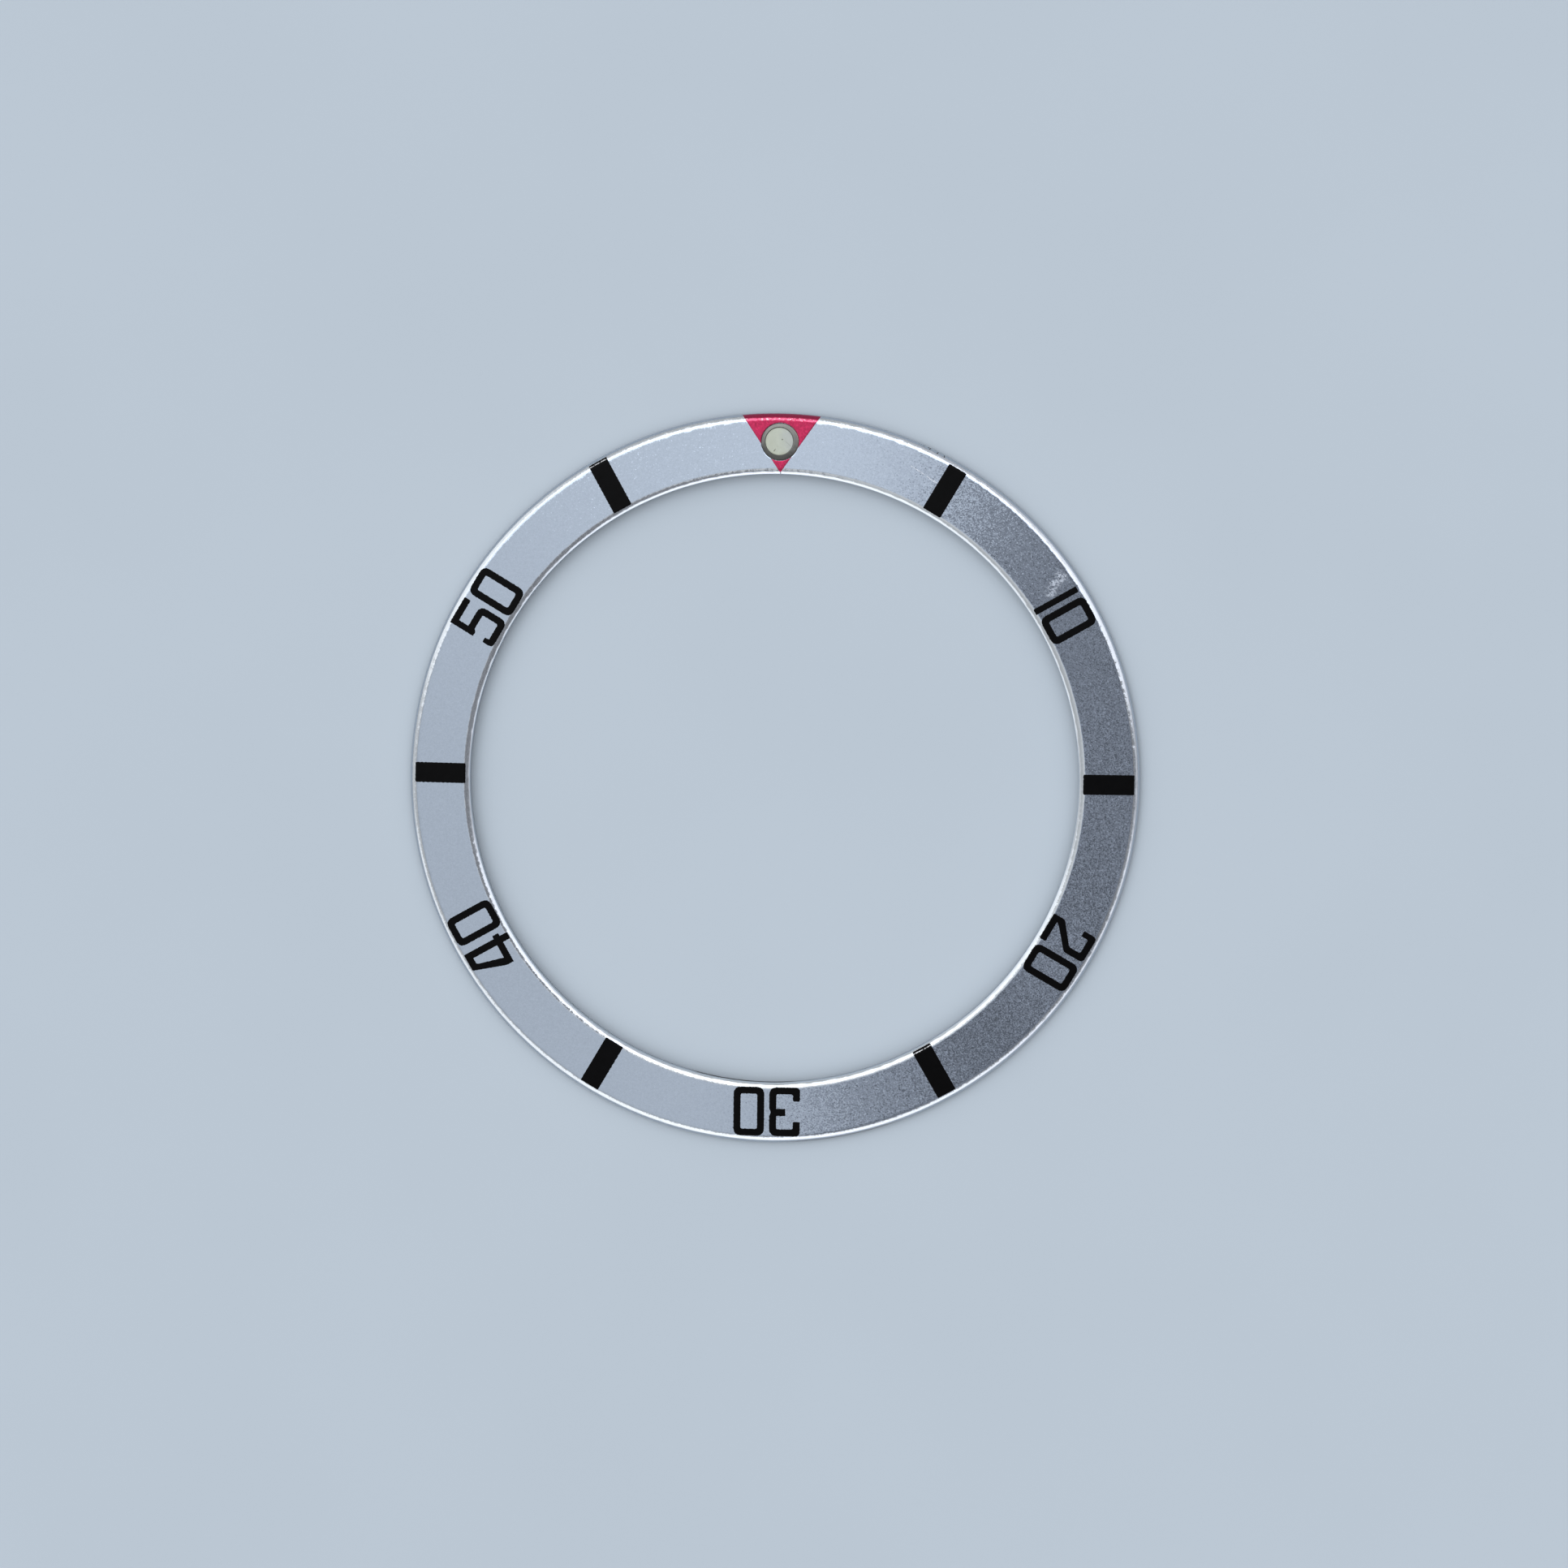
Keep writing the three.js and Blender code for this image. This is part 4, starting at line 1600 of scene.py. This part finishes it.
@dataclass(frozen=True)
class InsertMetal(Finish):
    """Aluminium: satin on the face, polished on the corners and bevels, turned on the walls and foot."""

    satin: Colour = (0.622, 0.715, 0.848)
    polished: Colour = (0.8, 0.85, 0.9)
    # rim: the polished colour turns darker on the outer rim, past rim_edge: painted shade, for the shadowed table that
    # the rim mirrors
    rim: Colour = (0.52, 0.55, 0.6)
    turned: Colour = (0.42, 0.46, 0.51)
    rubbed: Overlay = Overlay((0.8, 0.86, 0.95), 0.75, 0.5)
    scratched: Overlay = Overlay((0.92, 0.95, 1.0), 0.85, 0.55)
    # Near-black, for specks and a hair, and for painted shade at the bore's foot and on the outer rim
    dirt_and_shade_overlay: Overlay = Overlay((0.012, 0.011, 0.01), 1.0, 0.85)
    satin_roughness: float = 0.05
    polished_roughness: float = 0.13
    turned_roughness: float = 0.34
    grains: float = 19.0
    grain_tilt: float = 0.058
    corner_tilt: float = 1.5
    bevel_tilt: float = 0.3
    calm_way: Triple = (-0.42, 0.91, 0.0)
    calm_reach: Pair = (7.0, 14.0)
    calm_tilt: float = 0.8
    rolling: float = math.radians(150.0)
    rolled_lines: Pair = (3.0, 20.0)
    rolled_share: float = 1.5
    turned_lines: float = 26.0
    turned_depth: float = 0.0016
    wall_top: Pair = (0.3, 0.42)
    face_edges: Pair = (16.145, 18.665)
    grain_edges: Pair = (16.02, 18.78)
    rim_edge: Pair = (18.85, 18.92)
    smudge_height: float = 0.74
    smudges: tuple[Triple, ...] = ((14.66, 10.8, 0.5), (14.4, 10.45, 0.46), (14.12, 10.08, 0.5))
    scratches: tuple[Four, ...] = (
        (6.812, 16.397, 7.497, 15.972), (7.65, 15.87, 8.08, 15.544), (8.0, 15.68, 8.22, 15.5),
    )
    scratch_width: float = 0.026
    hair: Four = (0.06, 15.98, 0.066, 15.88)
    hair_width: float = 0.03
    # A dark band painted along the bore's foot near 30, where the ring meets the table: painted shadow
    foot_shade_azimuth: float = -4.6
    foot_shade_reach: Pair = (8.0, 12.6)
    foot_shade_heights: Triple = (0.2, 0.36, 0.12)
    bore_wall: Pair = (15.87, 15.93)
    specks_along: float = 7.45
    specks_reach: Pair = (0.7, 1.0)
    specks_edge: Pair = (18.86, 18.9)
    # A dark line painted on the outer rim near 30: painted shade
    rim_line_azimuth: float = 12.0
    rim_line_reach: Pair = (11.0, 6.0)
    rim_line_edge: Pair = (18.93, 18.97)

    def draw(self, net: Net, shader: bpy.types.Node, place: Value) -> None:
        """Draws zones by radius and height, grain in each zone, rubs, scratches, dark specks, a hair and painted shade.

        Args:
            net: The material's nodes.
            shader: Its principled shader.
            place: The shaded point in millimetres.
        """
        at = net.effect(EFFECTS.ring_place(), Place=place)
        radius, height = at["Radius"], at["Height"]
        shaken = radius + net.shake(place, 7.0, 2.0, 0.6, 0.06)
        inner, outer = self.face_edges
        top = net.ramp(height, *self.wall_top)
        face = net.ramp(shaken, inner - 0.03, inner + 0.03) * net.ramp(shaken, outer + 0.02, outer - 0.02) * top
        bevel = (1.0 - face) * top

        grain, rolled = grain_at(net, place, self.grains), self.rolled(net, place)
        satin = net.vector("SCALE", self.satin, net.ramp(grain["Shade"] + rolled * 0.3, 0.4, 0.9, 0.94, 1.05))
        # Past rim_edge the polished colour darkens to rim: painted shade
        polished = net.mix(net.ramp(radius, *self.rim_edge), self.polished, self.rim)
        colour = net.mix(face, net.mix(bevel, self.turned, polished), satin)
        rough = net.blend(face, net.blend(bevel, self.turned_roughness, self.polished_roughness), self.satin_roughness)
        rough = rough + (grain["Shade"] - 0.5) * 0.04
        # A near-black mask: painted shade at the bore's foot and on the rim, with real specks and a hair
        dirt_and_shade = self.dirt_and_shade_mask(net, place, at)
        masks = (self.smudge_mask(net, place), self.scratch_mask(net, place), dirt_and_shade)
        for overlay, mask in zip((self.rubbed, self.scratched, self.dirt_and_shade_overlay), masks):
            colour = net.mix(mask * overlay.weight, colour, overlay.colour)
            rough = net.blend(mask, rough, overlay.roughness)

        inner, outer = self.grain_edges
        grained = net.ramp(radius, inner - 0.04, inner) * top * net.ramp(radius, outer + 0.04, outer)
        lines = net.vector("SCALE", self.rolling_ways[1], rolled - 0.5)
        tilt = net.vector("ADD", grain["Tilt"], net.vector("SCALE", lines, self.rolled_share))
        calm = net.ramp(net.dot(place, self.calm_way), *self.calm_reach, 1.0, self.calm_tilt)
        lean = net.blend(face, net.blend(grained, self.bevel_tilt, self.corner_tilt), calm)
        streaks = net.effect(
            EFFECTS.turning_marks(), Across=radius, Along=at["Along"], Height=height * 30.0,
            Lines_for_each_mm=self.turned_lines,
        )
        normal = self.tilted(net, tilt, lean * self.grain_tilt)
        normal = self.bump(net, streaks["Height"], self.turned_depth, Strength=1.0 - face, Normal=normal)
        net.feed(shader, {"Base Color": colour, "Metallic": 1.0 - dirt_and_shade * 0.9, "Roughness": rough, "Normal": normal})

    @property
    def rolling_ways(self) -> tuple[Triple, Triple]:
        """Unit vectors along and across the rolling direction."""
        sine, cosine = math.sin(self.rolling), math.cos(self.rolling)
        return (cosine, sine, 0.0), (-sine, cosine, 0.0)

    def rolled(self, net: Net, place: Value) -> Value:
        """Noise drawn out along the sheet's rolling direction, read by the lengths along and across it.

        Args:
            net: The material's nodes.
            place: The shaded point in millimetres.

        Returns:
            The noise.
        """
        scaled = [net.dot(place, way) * lines for way, lines in zip(self.rolling_ways, self.rolled_lines)]
        return net.noise(net.join(*scaled), 1.0)

    def smudge_mask(self, net: Net, place: Value) -> Value:
        """The whitish rub near 10, a cluster of ragged blots seen through the grain.

        Args:
            net: The material's nodes.
            place: The shaded point in millimetres.

        Returns:
            The mask.
        """
        shape = {"Softness": 0.8, "Shake": 0.5, "Shake_scale": 3.2}
        blots = [
            net.effect(EFFECTS.blot(), Place=place, Centre=(x, y, self.smudge_height), Reach=reach, **shape)["Mask"]
            for x, y, reach in self.smudges
        ]
        return net.most(*blots) * net.ramp(net.noise(place, 8.0, 2.0, 0.7), 0.38, 0.6)

    def scratch_mask(self, net: Net, place: Value) -> Value:
        """The light scratches between 12 and 5."""
        flat = flat_place(net, place)
        return net.most(*(line_mask(net, flat, ends, self.scratch_width, 0.5) for ends in self.scratches))

    def dirt_and_shade_mask(self, net: Net, place: Value, at: Given) -> Value:
        """Near-black marks: painted shade at the bore's foot and on the rim near 30, rim specks and a hair at the tip.

        The azimuths of the foot's shadow and the rim's line are from 6 o'clock towards 3 o'clock, in degrees. The
        shadow's heights are its least one, that of its slow waves and that of its ragged edge.

        Args:
            net: The material's nodes.
            place: The shaded point in millimetres.
            at: Radius, length along the ring and height.

        Returns:
            The mask.
        """
        radius, along = at["Radius"], at["Along"]
        x, y, _ = net.split(place)
        flat = net.join(x, y)
        # Painted shadow: a dark band along the bore's foot near 30, where it meets the table
        turn = net.math("ARCTAN2", x, y * -1.0) * math.degrees(1.0)
        run = 1.0 - net.ramp(abs(turn - self.foot_shade_azimuth), *self.foot_shade_reach)
        least, waves, edge = self.foot_shade_heights
        foot_shade_top = (net.noise(flat, 1.5) * waves + least + net.noise(place, 9.0, 2.0, 0.6) * edge) * run
        low = 1.0 - net.ramp(at["Height"] - foot_shade_top, -0.06, 0.09)
        foot = run * low * (1.0 - net.ramp(radius, *self.bore_wall)) * 0.9
        specks = net.ramp(net.noise(net.join(along * 1.4, radius), 5.5, 1.0), 0.6, 0.66)
        there = 1.0 - net.ramp(abs(along - self.specks_along), *self.specks_reach)
        specks = specks * there * net.ramp(radius, *self.specks_edge)
        # Painted shade: a dark line on the outer rim near 30
        away = abs(turn - self.rim_line_azimuth)
        rim_shade_line = net.ramp(radius, *self.rim_line_edge) * net.ramp(away, *self.rim_line_reach, 0.0, 0.6)
        return net.most(foot, specks, rim_shade_line, line_mask(net, flat, self.hair, self.hair_width) * 0.85)


@dataclass(frozen=True)
class BlackInk(Finish):
    """Printed black ink with a low sheen. A rub line shows metal where the ink crosses a corner."""

    colour: Colour = (0.0005, 0.0005, 0.0007)
    roughness: float = 0.42
    sheen: float = 0.09
    grains: float = 8.0
    grain_depth: float = 0.0012
    rub_radius: float = 0.0
    rub_width: float = 0.035
    rub_roughness: float = 0.3
    metal: Colour = (0.75, 0.76, 0.78)

    def draw(self, net: Net, shader: bpy.types.Node, place: Value) -> None:
        """Draws the ink's faint mottling, the grain that shows through, and the rub line.

        Args:
            net: The material's nodes.
            shader: Its principled shader.
            place: The shaded point in millimetres.
        """
        grain = grain_at(net, place, self.grains)
        colour = net.vector("SCALE", self.colour, net.ramp(net.noise(place, 3.0, 3.0, 0.6), 0.3, 0.7, 0.7, 1.5))
        rough = grain["Shade"] * 0.1 + self.roughness
        if self.rub_radius:
            away = abs(net.effect(EFFECTS.ring_place(), Place=place)["Radius"] - self.rub_radius)
            line = 1.0 - net.ramp(away + net.shake(place, 11.0, 2.0, 0.7, 0.06), 0.0, self.rub_width)
            bare = line * net.ramp(net.noise(place, 7.0, 1.0), 0.4, 0.5)
            colour, rough = net.mix(bare, colour, self.metal), net.blend(bare, rough, self.rub_roughness)
            net.feed(shader, {"Metallic": bare})
        normal = self.bump(net, grain["Height"], self.grain_depth)
        net.feed(shader, {"Base Color": colour, "Roughness": rough, "Normal": normal, "Specular IOR Level": self.sheen})


@dataclass(frozen=True)
class RedLacquer(Finish):
    """Crimson lacquer over satin metal, which shows through it as a fine mottle, and a painted glint on the corner."""

    colour: Colour = (0.56, 0.021, 0.1)
    # deep: a darker red on the bevel, painted shade
    deep: Colour = (0.33, 0.012, 0.06)
    # thin and bare: a pink and a pale colour spotted along the corner, a painted glint
    thin: Colour = (1.0, 0.2, 0.36)
    bare: Colour = (1.0, 0.82, 0.86)
    mottled: float = 0.86
    roughness: float = 0.22
    metallic: float = 0.72
    coat: float = 0.25
    coat_roughness: float = 0.16
    grains: float = 12.0
    grain_tilt: float = 0.1
    bevel_edge: Pair = (18.76, 18.82)
    corner_radius: float = 18.7
    corner_width: float = 0.085

    def draw(self, net: Net, shader: bpy.types.Node, place: Value) -> None:
        """Draws the mottle, painted shade on the bevel, a painted glint on the corner, and the grain under the lacquer.

        Args:
            net: The material's nodes.
            shader: Its principled shader.
            place: The shaded point in millimetres.
        """
        grain = grain_at(net, place, self.grains)
        radius = net.effect(EFFECTS.ring_place(), Place=place)["Radius"]
        mottle = net.ramp(grain["Shade"] + net.noise(place, 2.5, 3.0) * 0.6, 0.55, 1.05)
        colour = net.mix(mottle, self.colour, tuple(part * self.mottled for part in self.colour))
        # Darker on the bevel: painted shade
        colour = net.mix(net.ramp(radius, *self.bevel_edge), colour, self.deep)
        # Pink, then pale spots along the corner: a painted glint
        away = abs(radius - self.corner_radius) + net.shake(place, 9.0, 1.0, 0.5, 0.12)
        corner = 1.0 - net.ramp(away, self.corner_width * 0.3, self.corner_width)
        colour = net.mix(corner * net.ramp(grain["Shade"], 0.3, 0.55) * 0.75, colour, self.thin)
        colour = net.mix(corner * net.ramp(net.noise(place, 8.0, 1.0), 0.58, 0.68) * 0.7, colour, self.bare)
        rough, normal = grain["Shade"] * 0.06 + self.roughness, self.tilted(net, grain["Tilt"], self.grain_tilt)
        net.feed(shader, {"Metallic": self.metallic, "Coat Weight": self.coat, "Coat Roughness": self.coat_roughness})
        net.feed(shader, {"Base Color": colour, "Roughness": rough, "Normal": normal})


@dataclass(frozen=True)
class PipSteel(Finish):
    """Grey steel, turned about the pip's axis, with painted shade to the south and a painted highlight to the east."""

    centre: Triple
    colour: Colour = (0.25, 0.25, 0.235)
    # A warm lighter colour on the east of the outer rim: painted highlight
    painted_highlight: Colour = (0.36, 0.32, 0.27)
    # Share of the colour left where the cup is darkest, towards the south: painted shade
    painted_shade_depth: float = 0.5
    roughness: float = 0.3
    middle_radius: float = 0.9
    rim_edge: Pair = (0.9, 0.97)
    turned_lines: float = 38.0
    turned_depth: float = 0.0012
    grains: float = 6.0

    def draw(self, net: Net, shader: bpy.types.Node, place: Value) -> None:
        """Draws turning marks round the pip's centre, a warm painted highlight on the east of its rim, and painted
        shade.

        Args:
            net: The material's nodes.
            shader: Its principled shader.
            place: The shaded point in millimetres.
        """
        x, y, z = net.split(net.vector("SUBTRACT", place, self.centre))
        radius, along = net.length(x, y), net.math("ARCTAN2", x, y) * self.middle_radius
        given = {"Across": radius, "Along": along, "Height": z, "Lines_for_each_mm": self.turned_lines}
        marks = net.effect(EFFECTS.turning_marks(), **given)["Height"]
        grain = grain_at(net, place, self.grains)["Shade"]
        shade = net.ramp(marks + grain, 0.7, 1.4, 0.88, 1.14)
        # Lighter and warmer on the east of the outer rim: painted highlight
        rim = net.ramp(radius, *self.rim_edge) * net.ramp(x, 0.2, 0.8)
        # Darker towards the south, broken by random patches: painted shade
        towards = y * -0.8 + x * -0.25 + net.shake(place, 2.2, 2.0, 0.6, 1.6)
        painted_shade = net.ramp(towards, -0.5, 0.7, 1.0, self.painted_shade_depth)
        colour = net.vector("SCALE", net.mix(rim, self.colour, self.painted_highlight), shade * painted_shade)
        rough, normal = grain * 0.1 + self.roughness, self.bump(net, marks, self.turned_depth)
        net.feed(shader, {"Metallic": 1.0, "Base Color": colour, "Roughness": rough, "Normal": normal})


@dataclass(frozen=True)
class AgedLume(Finish):
    """Luminous compound, cream-green and a little yellowed, with a pit, a speck and a hairline.

    Blots are (x, y, reach, weight) and lines are (ends, width, weight), from the lume's centre in plan.
    """

    centre: Triple
    colour: Colour = (0.464, 0.508, 0.448)
    yellowed: Colour = (0.432, 0.462, 0.37)
    cool: Colour = (0.438, 0.48, 0.465)
    dark: Colour = (0.045, 0.035, 0.018)
    sheen: float = 0.35
    roughness: float = 0.42
    grains: float = 10.0
    grain_depth: float = 0.0015
    blots: tuple[Four, ...] = (
        (-0.262, -0.497, 0.065, 1.0), (0.154, 0.101, 0.05, 0.75), (-0.11, -0.26, 0.07, 0.12),
    )
    lines: tuple[tuple[Four, float, float], ...] = (
        ((-0.27, -0.5, -0.19, -0.4), 0.02, 0.8), ((0.33, 0.0, 0.6, -0.24), 0.016, 0.3),
    )

    def draw(self, net: Net, shader: bpy.types.Node, place: Value) -> None:
        """Draws the slow changes of colour over the disc, then its marks.

        Args:
            net: The material's nodes.
            shader: Its principled shader.
            place: The shaded point in millimetres.
        """
        x, y, _ = net.split(net.vector("SUBTRACT", place, self.centre))
        drift = net.shake(place, 1.6, 3.0, 0.55, 0.9)
        old, left = net.ramp(y * -1.0 + drift, 0.25, 0.85), net.ramp(x * -1.0 + drift, 0.0, 0.8, 0.0, 0.4)
        colour = net.mix(net.ramp(x + drift, 0.0, 0.6), self.colour, self.cool)
        colour = net.mix(net.most(old, left), colour, self.yellowed)
        colour = net.vector("SCALE", colour, net.ramp(net.noise(place, 4.0, 3.0, 0.6), 0.3, 0.7, 0.965, 1.03))
        middle_x, middle_y, height = self.centre
        masks, shape = [], {"Softness": 0.6, "Shake": 0.035, "Shake_scale": 14.0}
        for right, up, reach, weight in self.blots:
            centre = (middle_x + right, middle_y + up, height)
            masks.append(net.effect(EFFECTS.blot(), Place=place, Centre=centre, Reach=reach, **shape)["Mask"] * weight)
        flat = flat_place(net, place)
        for ends, width, weight in self.lines:
            ends = tuple(end + middle for end, middle in zip(ends, (middle_x, middle_y) * 2))
            masks.append(line_mask(net, flat, ends, width) * weight)
        marks = net.most(*masks)
        grain = grain_at(net, place, self.grains)
        normal = self.bump(net, grain["Height"] - marks, self.grain_depth)
        net.feed(shader, {"Base Color": net.mix(marks, colour, self.dark), "Specular IOR Level": self.sheen})
        net.feed(shader, {"Roughness": grain["Shade"] * 0.16 + self.roughness, "Normal": normal})


def dress(piece: bpy.types.Object, finish: Finish, node: str) -> bpy.types.Object:
    """Gives a piece its material and its body, and hides the solid's node that it stands for.

    Args:
        piece: The piece.
        finish: What it is dressed with.
        node: The solid's node that it stands for.

    Returns:
        The piece.
    """
    piece.data.materials.append(finish.material())
    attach(piece, BODY)
    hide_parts(node)
    LOG.info("%s: %d faces, %s", piece.name, len(piece.data.polygons), finish.name)
    return piece


# Studio


@dataclass(frozen=True)
class Tabletop:
    """The plain pale surface that the insert lies on."""

    half_side: float = 1500.0
    drop: float = 0.16
    colour: Colour = (0.497, 0.571, 0.653)
    roughness: float = 0.9
    sheen: float = 0.05

    def build(self) -> None:
        """Builds the tabletop as one square."""
        mesh = bpy.data.meshes.new("tabletop")
        far = self.half_side
        corners = [(x, y, -self.drop) for x, y, _ in box_corners(-far, -far, far, far, 0)]
        mesh.from_pydata([tuple(value * MM for value in corner) for corner in corners], [], [(0, 1, 2, 3)])
        material, net, shader = new_material("pale card")
        cloud = net.ramp(net.noise(net.place_in_mm(), 0.06), 0.3, 0.7, 0.992, 1.008)
        net.feed(shader, {"Base Color": net.vector("SCALE", self.colour, cloud)})
        net.feed(shader, {"Roughness": self.roughness, "Specular IOR Level": self.sheen})
        mesh.materials.append(material)
        new_object("tabletop", mesh)


@dataclass(frozen=True)
class SoftTent:
    """A light tent round the table, as the world, which metal mirrors: bright cloth all round, plainer overhead.

    A direction is read by its plan (x, y), whose length is 0 overhead and 1 at the horizon. Where a field is a
    row of weights, the first is a level and the others go with terms of the direction, as weighed() adds them.
    The cloth starts at a plan length for each azimuth in degrees.
    """

    overhead: Triple = (0.715, 0.27, 0.19)
    gap: float = 0.23
    gap_edge: Pair = (0.088, 0.195)
    gap_softness: float = 0.14
    gap_folds: Triple = (14.0, 0.5, 1.8)
    cloth: Triple = (1.26, 0.3, 0.2)
    cloth_starts: tuple[Pair, ...] = (
        (0, 0.39), (15, 0.4), (40, 0.58), (60, 0.68), (75, 0.78), (90, 1.0), (105, 1.0), (120, 0.98), (135, 0.94),
        (150, 0.9), (168, 0.88), (200, 0.88), (225, 0.9), (255, 0.98), (270, 0.92), (285, 0.74), (300, 0.5),
        (315, 0.41), (330, 0.4), (345, 0.39), (360, 0.39),
    )
    cloth_softness: float = 0.06
    horizon: Triple = (0.57, 1.0, 0.5)
    horizon_start: Pair = (0.89, -0.05)
    horizon_softness: float = 0.09
    echo: float = 0.08
    tint: Colour = (0.985, 1.0, 1.02)
    gap_tint: Colour = (0.985, 1.0, 1.07)
    backdrop: Colour = (0.497, 0.571, 0.653)

    def build(self) -> None:
        """Builds the world's nodes: overhead with a dark gap to the east, then the cloth, then the horizon.

        The horizon's lights are those to the sides, elsewhere and to the north.
        """
        world = bpy.data.worlds.new("soft tent")
        bpy.context.scene.world = world
        world.use_nodes = True
        world.cycles_visibility.diffuse = False
        net = Net(world.node_tree)
        x, y, _ = net.split(net.add("ShaderNodeTexCoord").outputs["Generated"])
        plan = net.most(net.length(x, y), 0.0001)
        east, north = x / plan, y / plan
        dark = net.ramp(x - weighed(self.gap_edge, y), -self.gap_softness, self.gap_softness)
        scale, least, most = self.gap_folds
        folds = net.ramp(net.noise(net.join(x, y), scale, 1.0), 0.36, 0.7, least, most)
        light = net.blend(dark, weighed(self.overhead, x, y), self.gap * folds)
        past = net.ramp(plan - self.cloth_start(net, east, north), -self.cloth_softness, self.cloth_softness)
        light = net.blend(past, light, weighed(self.cloth, north * north - east * east, north))
        sideways, elsewhere, northern = self.horizon
        horizon = net.ramp(abs(north), 0.1, 0.3, sideways, elsewhere)
        horizon = net.blend(net.ramp(north, 0.5, 0.9), horizon, northern)
        last = net.ramp(plan - weighed(self.horizon_start, north), 0.0, self.horizon_softness)
        path = net.add("ShaderNodeLightPath").outputs
        light = net.blend(last, light, horizon) * net.ramp(path["Diffuse Depth"], 0.0, 1.0, 1.0, self.echo)
        lit, plain = net.add("ShaderNodeBackground"), net.add("ShaderNodeBackground")
        net.feed(lit, {"Color": net.mix(dark, self.tint, self.gap_tint), "Strength": light})
        net.feed(plain, {"Color": self.backdrop})
        either = net.put("ShaderNodeMixShader", {0: path["Is Camera Ray"], 1: lit.outputs[0], 2: plain.outputs[0]})
        net.feed(net.add("ShaderNodeOutputWorld"), {"Surface": either})

    def cloth_start(self, net: Net, east: Value, north: Value) -> Value:
        """Where the cloth starts, read by the direction's azimuth, clockwise from north.

        Args:
            net: The world's nodes.
            east: The direction's eastward part in plan.
            north: Its northward part.

        Returns:
            The length in plan.
        """
        node = net.add("ShaderNodeFloatCurve")
        points = node.mapping.curves[0].points
        for degrees, start in self.cloth_starts[1:-1]:
            points.new(degrees / 360, start)
        points[0].location = (0.0, self.cloth_starts[0][1])
        points[-1].location = (1.0, self.cloth_starts[-1][1])
        node.mapping.update()
        net.feed(node, {"Value": net.math("FRACT", net.math("ARCTAN2", east, north) / TURN)})
        return Value(net, node.outputs[0])


def weighed(weights: Sequence[float], *terms: Value) -> Value:
    """The first weight plus each term times its own weight."""
    return sum((term * weight for weight, term in zip(weights[1:], terms)), weights[0])


@dataclass(frozen=True)
class SoftLamps:
    """Broad lamps straight overhead, which light what is matt. Together they give a plain level, pi in all.

    Each lamp is a disc of sky of one half-angle with its share of the light, so that the shadow beside the
    ring is narrow and soft.
    """

    half_angles: tuple[float, ...] = (24.0, 45.0, 68.0)
    shares: tuple[float, ...] = (0.25, 0.3, 0.45)
    level: float = math.pi
    lean: float = math.radians(10.5)
    lean_azimuth: float = math.radians(312.0)

    def build(self) -> None:
        """Builds the lamps, which mirrors don't see."""
        axis = (-math.cos(self.lean_azimuth), math.sin(self.lean_azimuth), 0.0)
        for angle, share in zip(self.half_angles, self.shares):
            name = f"soft lamp {angle:.0f}"
            data = bpy.data.lights.new(name, "SUN")
            data.angle, data.energy = math.radians(2 * angle), self.level * share / math.cos(self.lean)
            lamp = new_object(name, data)
            lamp.matrix_world = Matrix.Rotation(self.lean, 4, axis)
            lamp.visible_glossy = False


@dataclass(frozen=True)
class OverheadCamera:
    """The camera above the table, a little north-east of the ring's axis and leaning back over it."""

    place: Triple = (12.29, 15.17, 270.17)
    tilt: float = math.radians(4.004)
    lean_azimuth: float = math.radians(37.70)
    roll: float = math.radians(1.149)
    lens: float = 119.34
    sensor_width: float = 36.0
    shift: Pair = (-0.0028, -0.0057)
    clip: Pair = (0.002, 20.0)

    def build(self) -> None:
        """Builds the camera: turned from straight down by the smallest turn to its axis, then rolled."""
        data = bpy.data.cameras.new("overhead")
        data.lens, data.sensor_width, data.sensor_fit = self.lens, self.sensor_width, "HORIZONTAL"
        data.shift_x, data.shift_y = self.shift
        data.clip_start, data.clip_end = self.clip
        axis = (math.cos(self.lean_azimuth), -math.sin(self.lean_azimuth), 0.0)
        lean = Matrix.Rotation(self.tilt, 4, axis).inverted()
        place = Matrix.Translation([value * MM for value in self.place])
        camera = new_object("overhead", data)
        camera.matrix_world = place @ lean @ Matrix.Rotation(self.roll, 4, "Z")
        bpy.context.scene.camera = camera


def main() -> None:
    """Builds the insert and its studio."""
    logging.basicConfig(level=logging.INFO, format="%(name)s: %(message)s")
    bpy.context.scene.view_settings.view_transform = "Standard"
    section = RingSection()
    pip = PipPlace(section)
    lume = LumePip(pip)
    film, print_place = InkFilm(section), PrintPlace()
    crisp_film = InkFilm(section, spread=0.0, ragged_height=0.0025)
    black = BlackInk("black ink")

    InsertRing(section, pip).build(InsertMetal("satin aluminium"))
    # The cup's steel has painted shade to the south and a painted highlight on the east rim.
    lume.build(PipSteel("dulled steel", pip.centre), AgedLume("aged lume", lume.lume_centre))
    RedTriangle(crisp_film, pip).build(RedLacquer("crimson lacquer"))
    spilt = {
        55: ({"spill_out": 0.14}, BlackInk("black ink, rubbed at the outer corner", rub_radius=18.77)),
        25: ({"spill_in": 0.12}, BlackInk("black ink, rubbed at the inner corner", rub_radius=16.04)),
    }
    for minute in (5, 15, 25, 35, 45, 55):
        spill, finish = spilt.get(minute, ({}, black))
        MinuteBar(film, print_place, minute, **spill).build(finish)
    for minute, first in zip((10, 20, 30, 40, 50), (Digit.ONE, Digit.TWO, Digit.THREE, Digit.FOUR, Digit.FIVE)):
        Numeral(film, print_place, minute, first).build(black)

    for furnishing in (Tabletop(), SoftTent(), SoftLamps(), OverheadCamera()):
        furnishing.build()


if __name__ == "__main__":
    main()
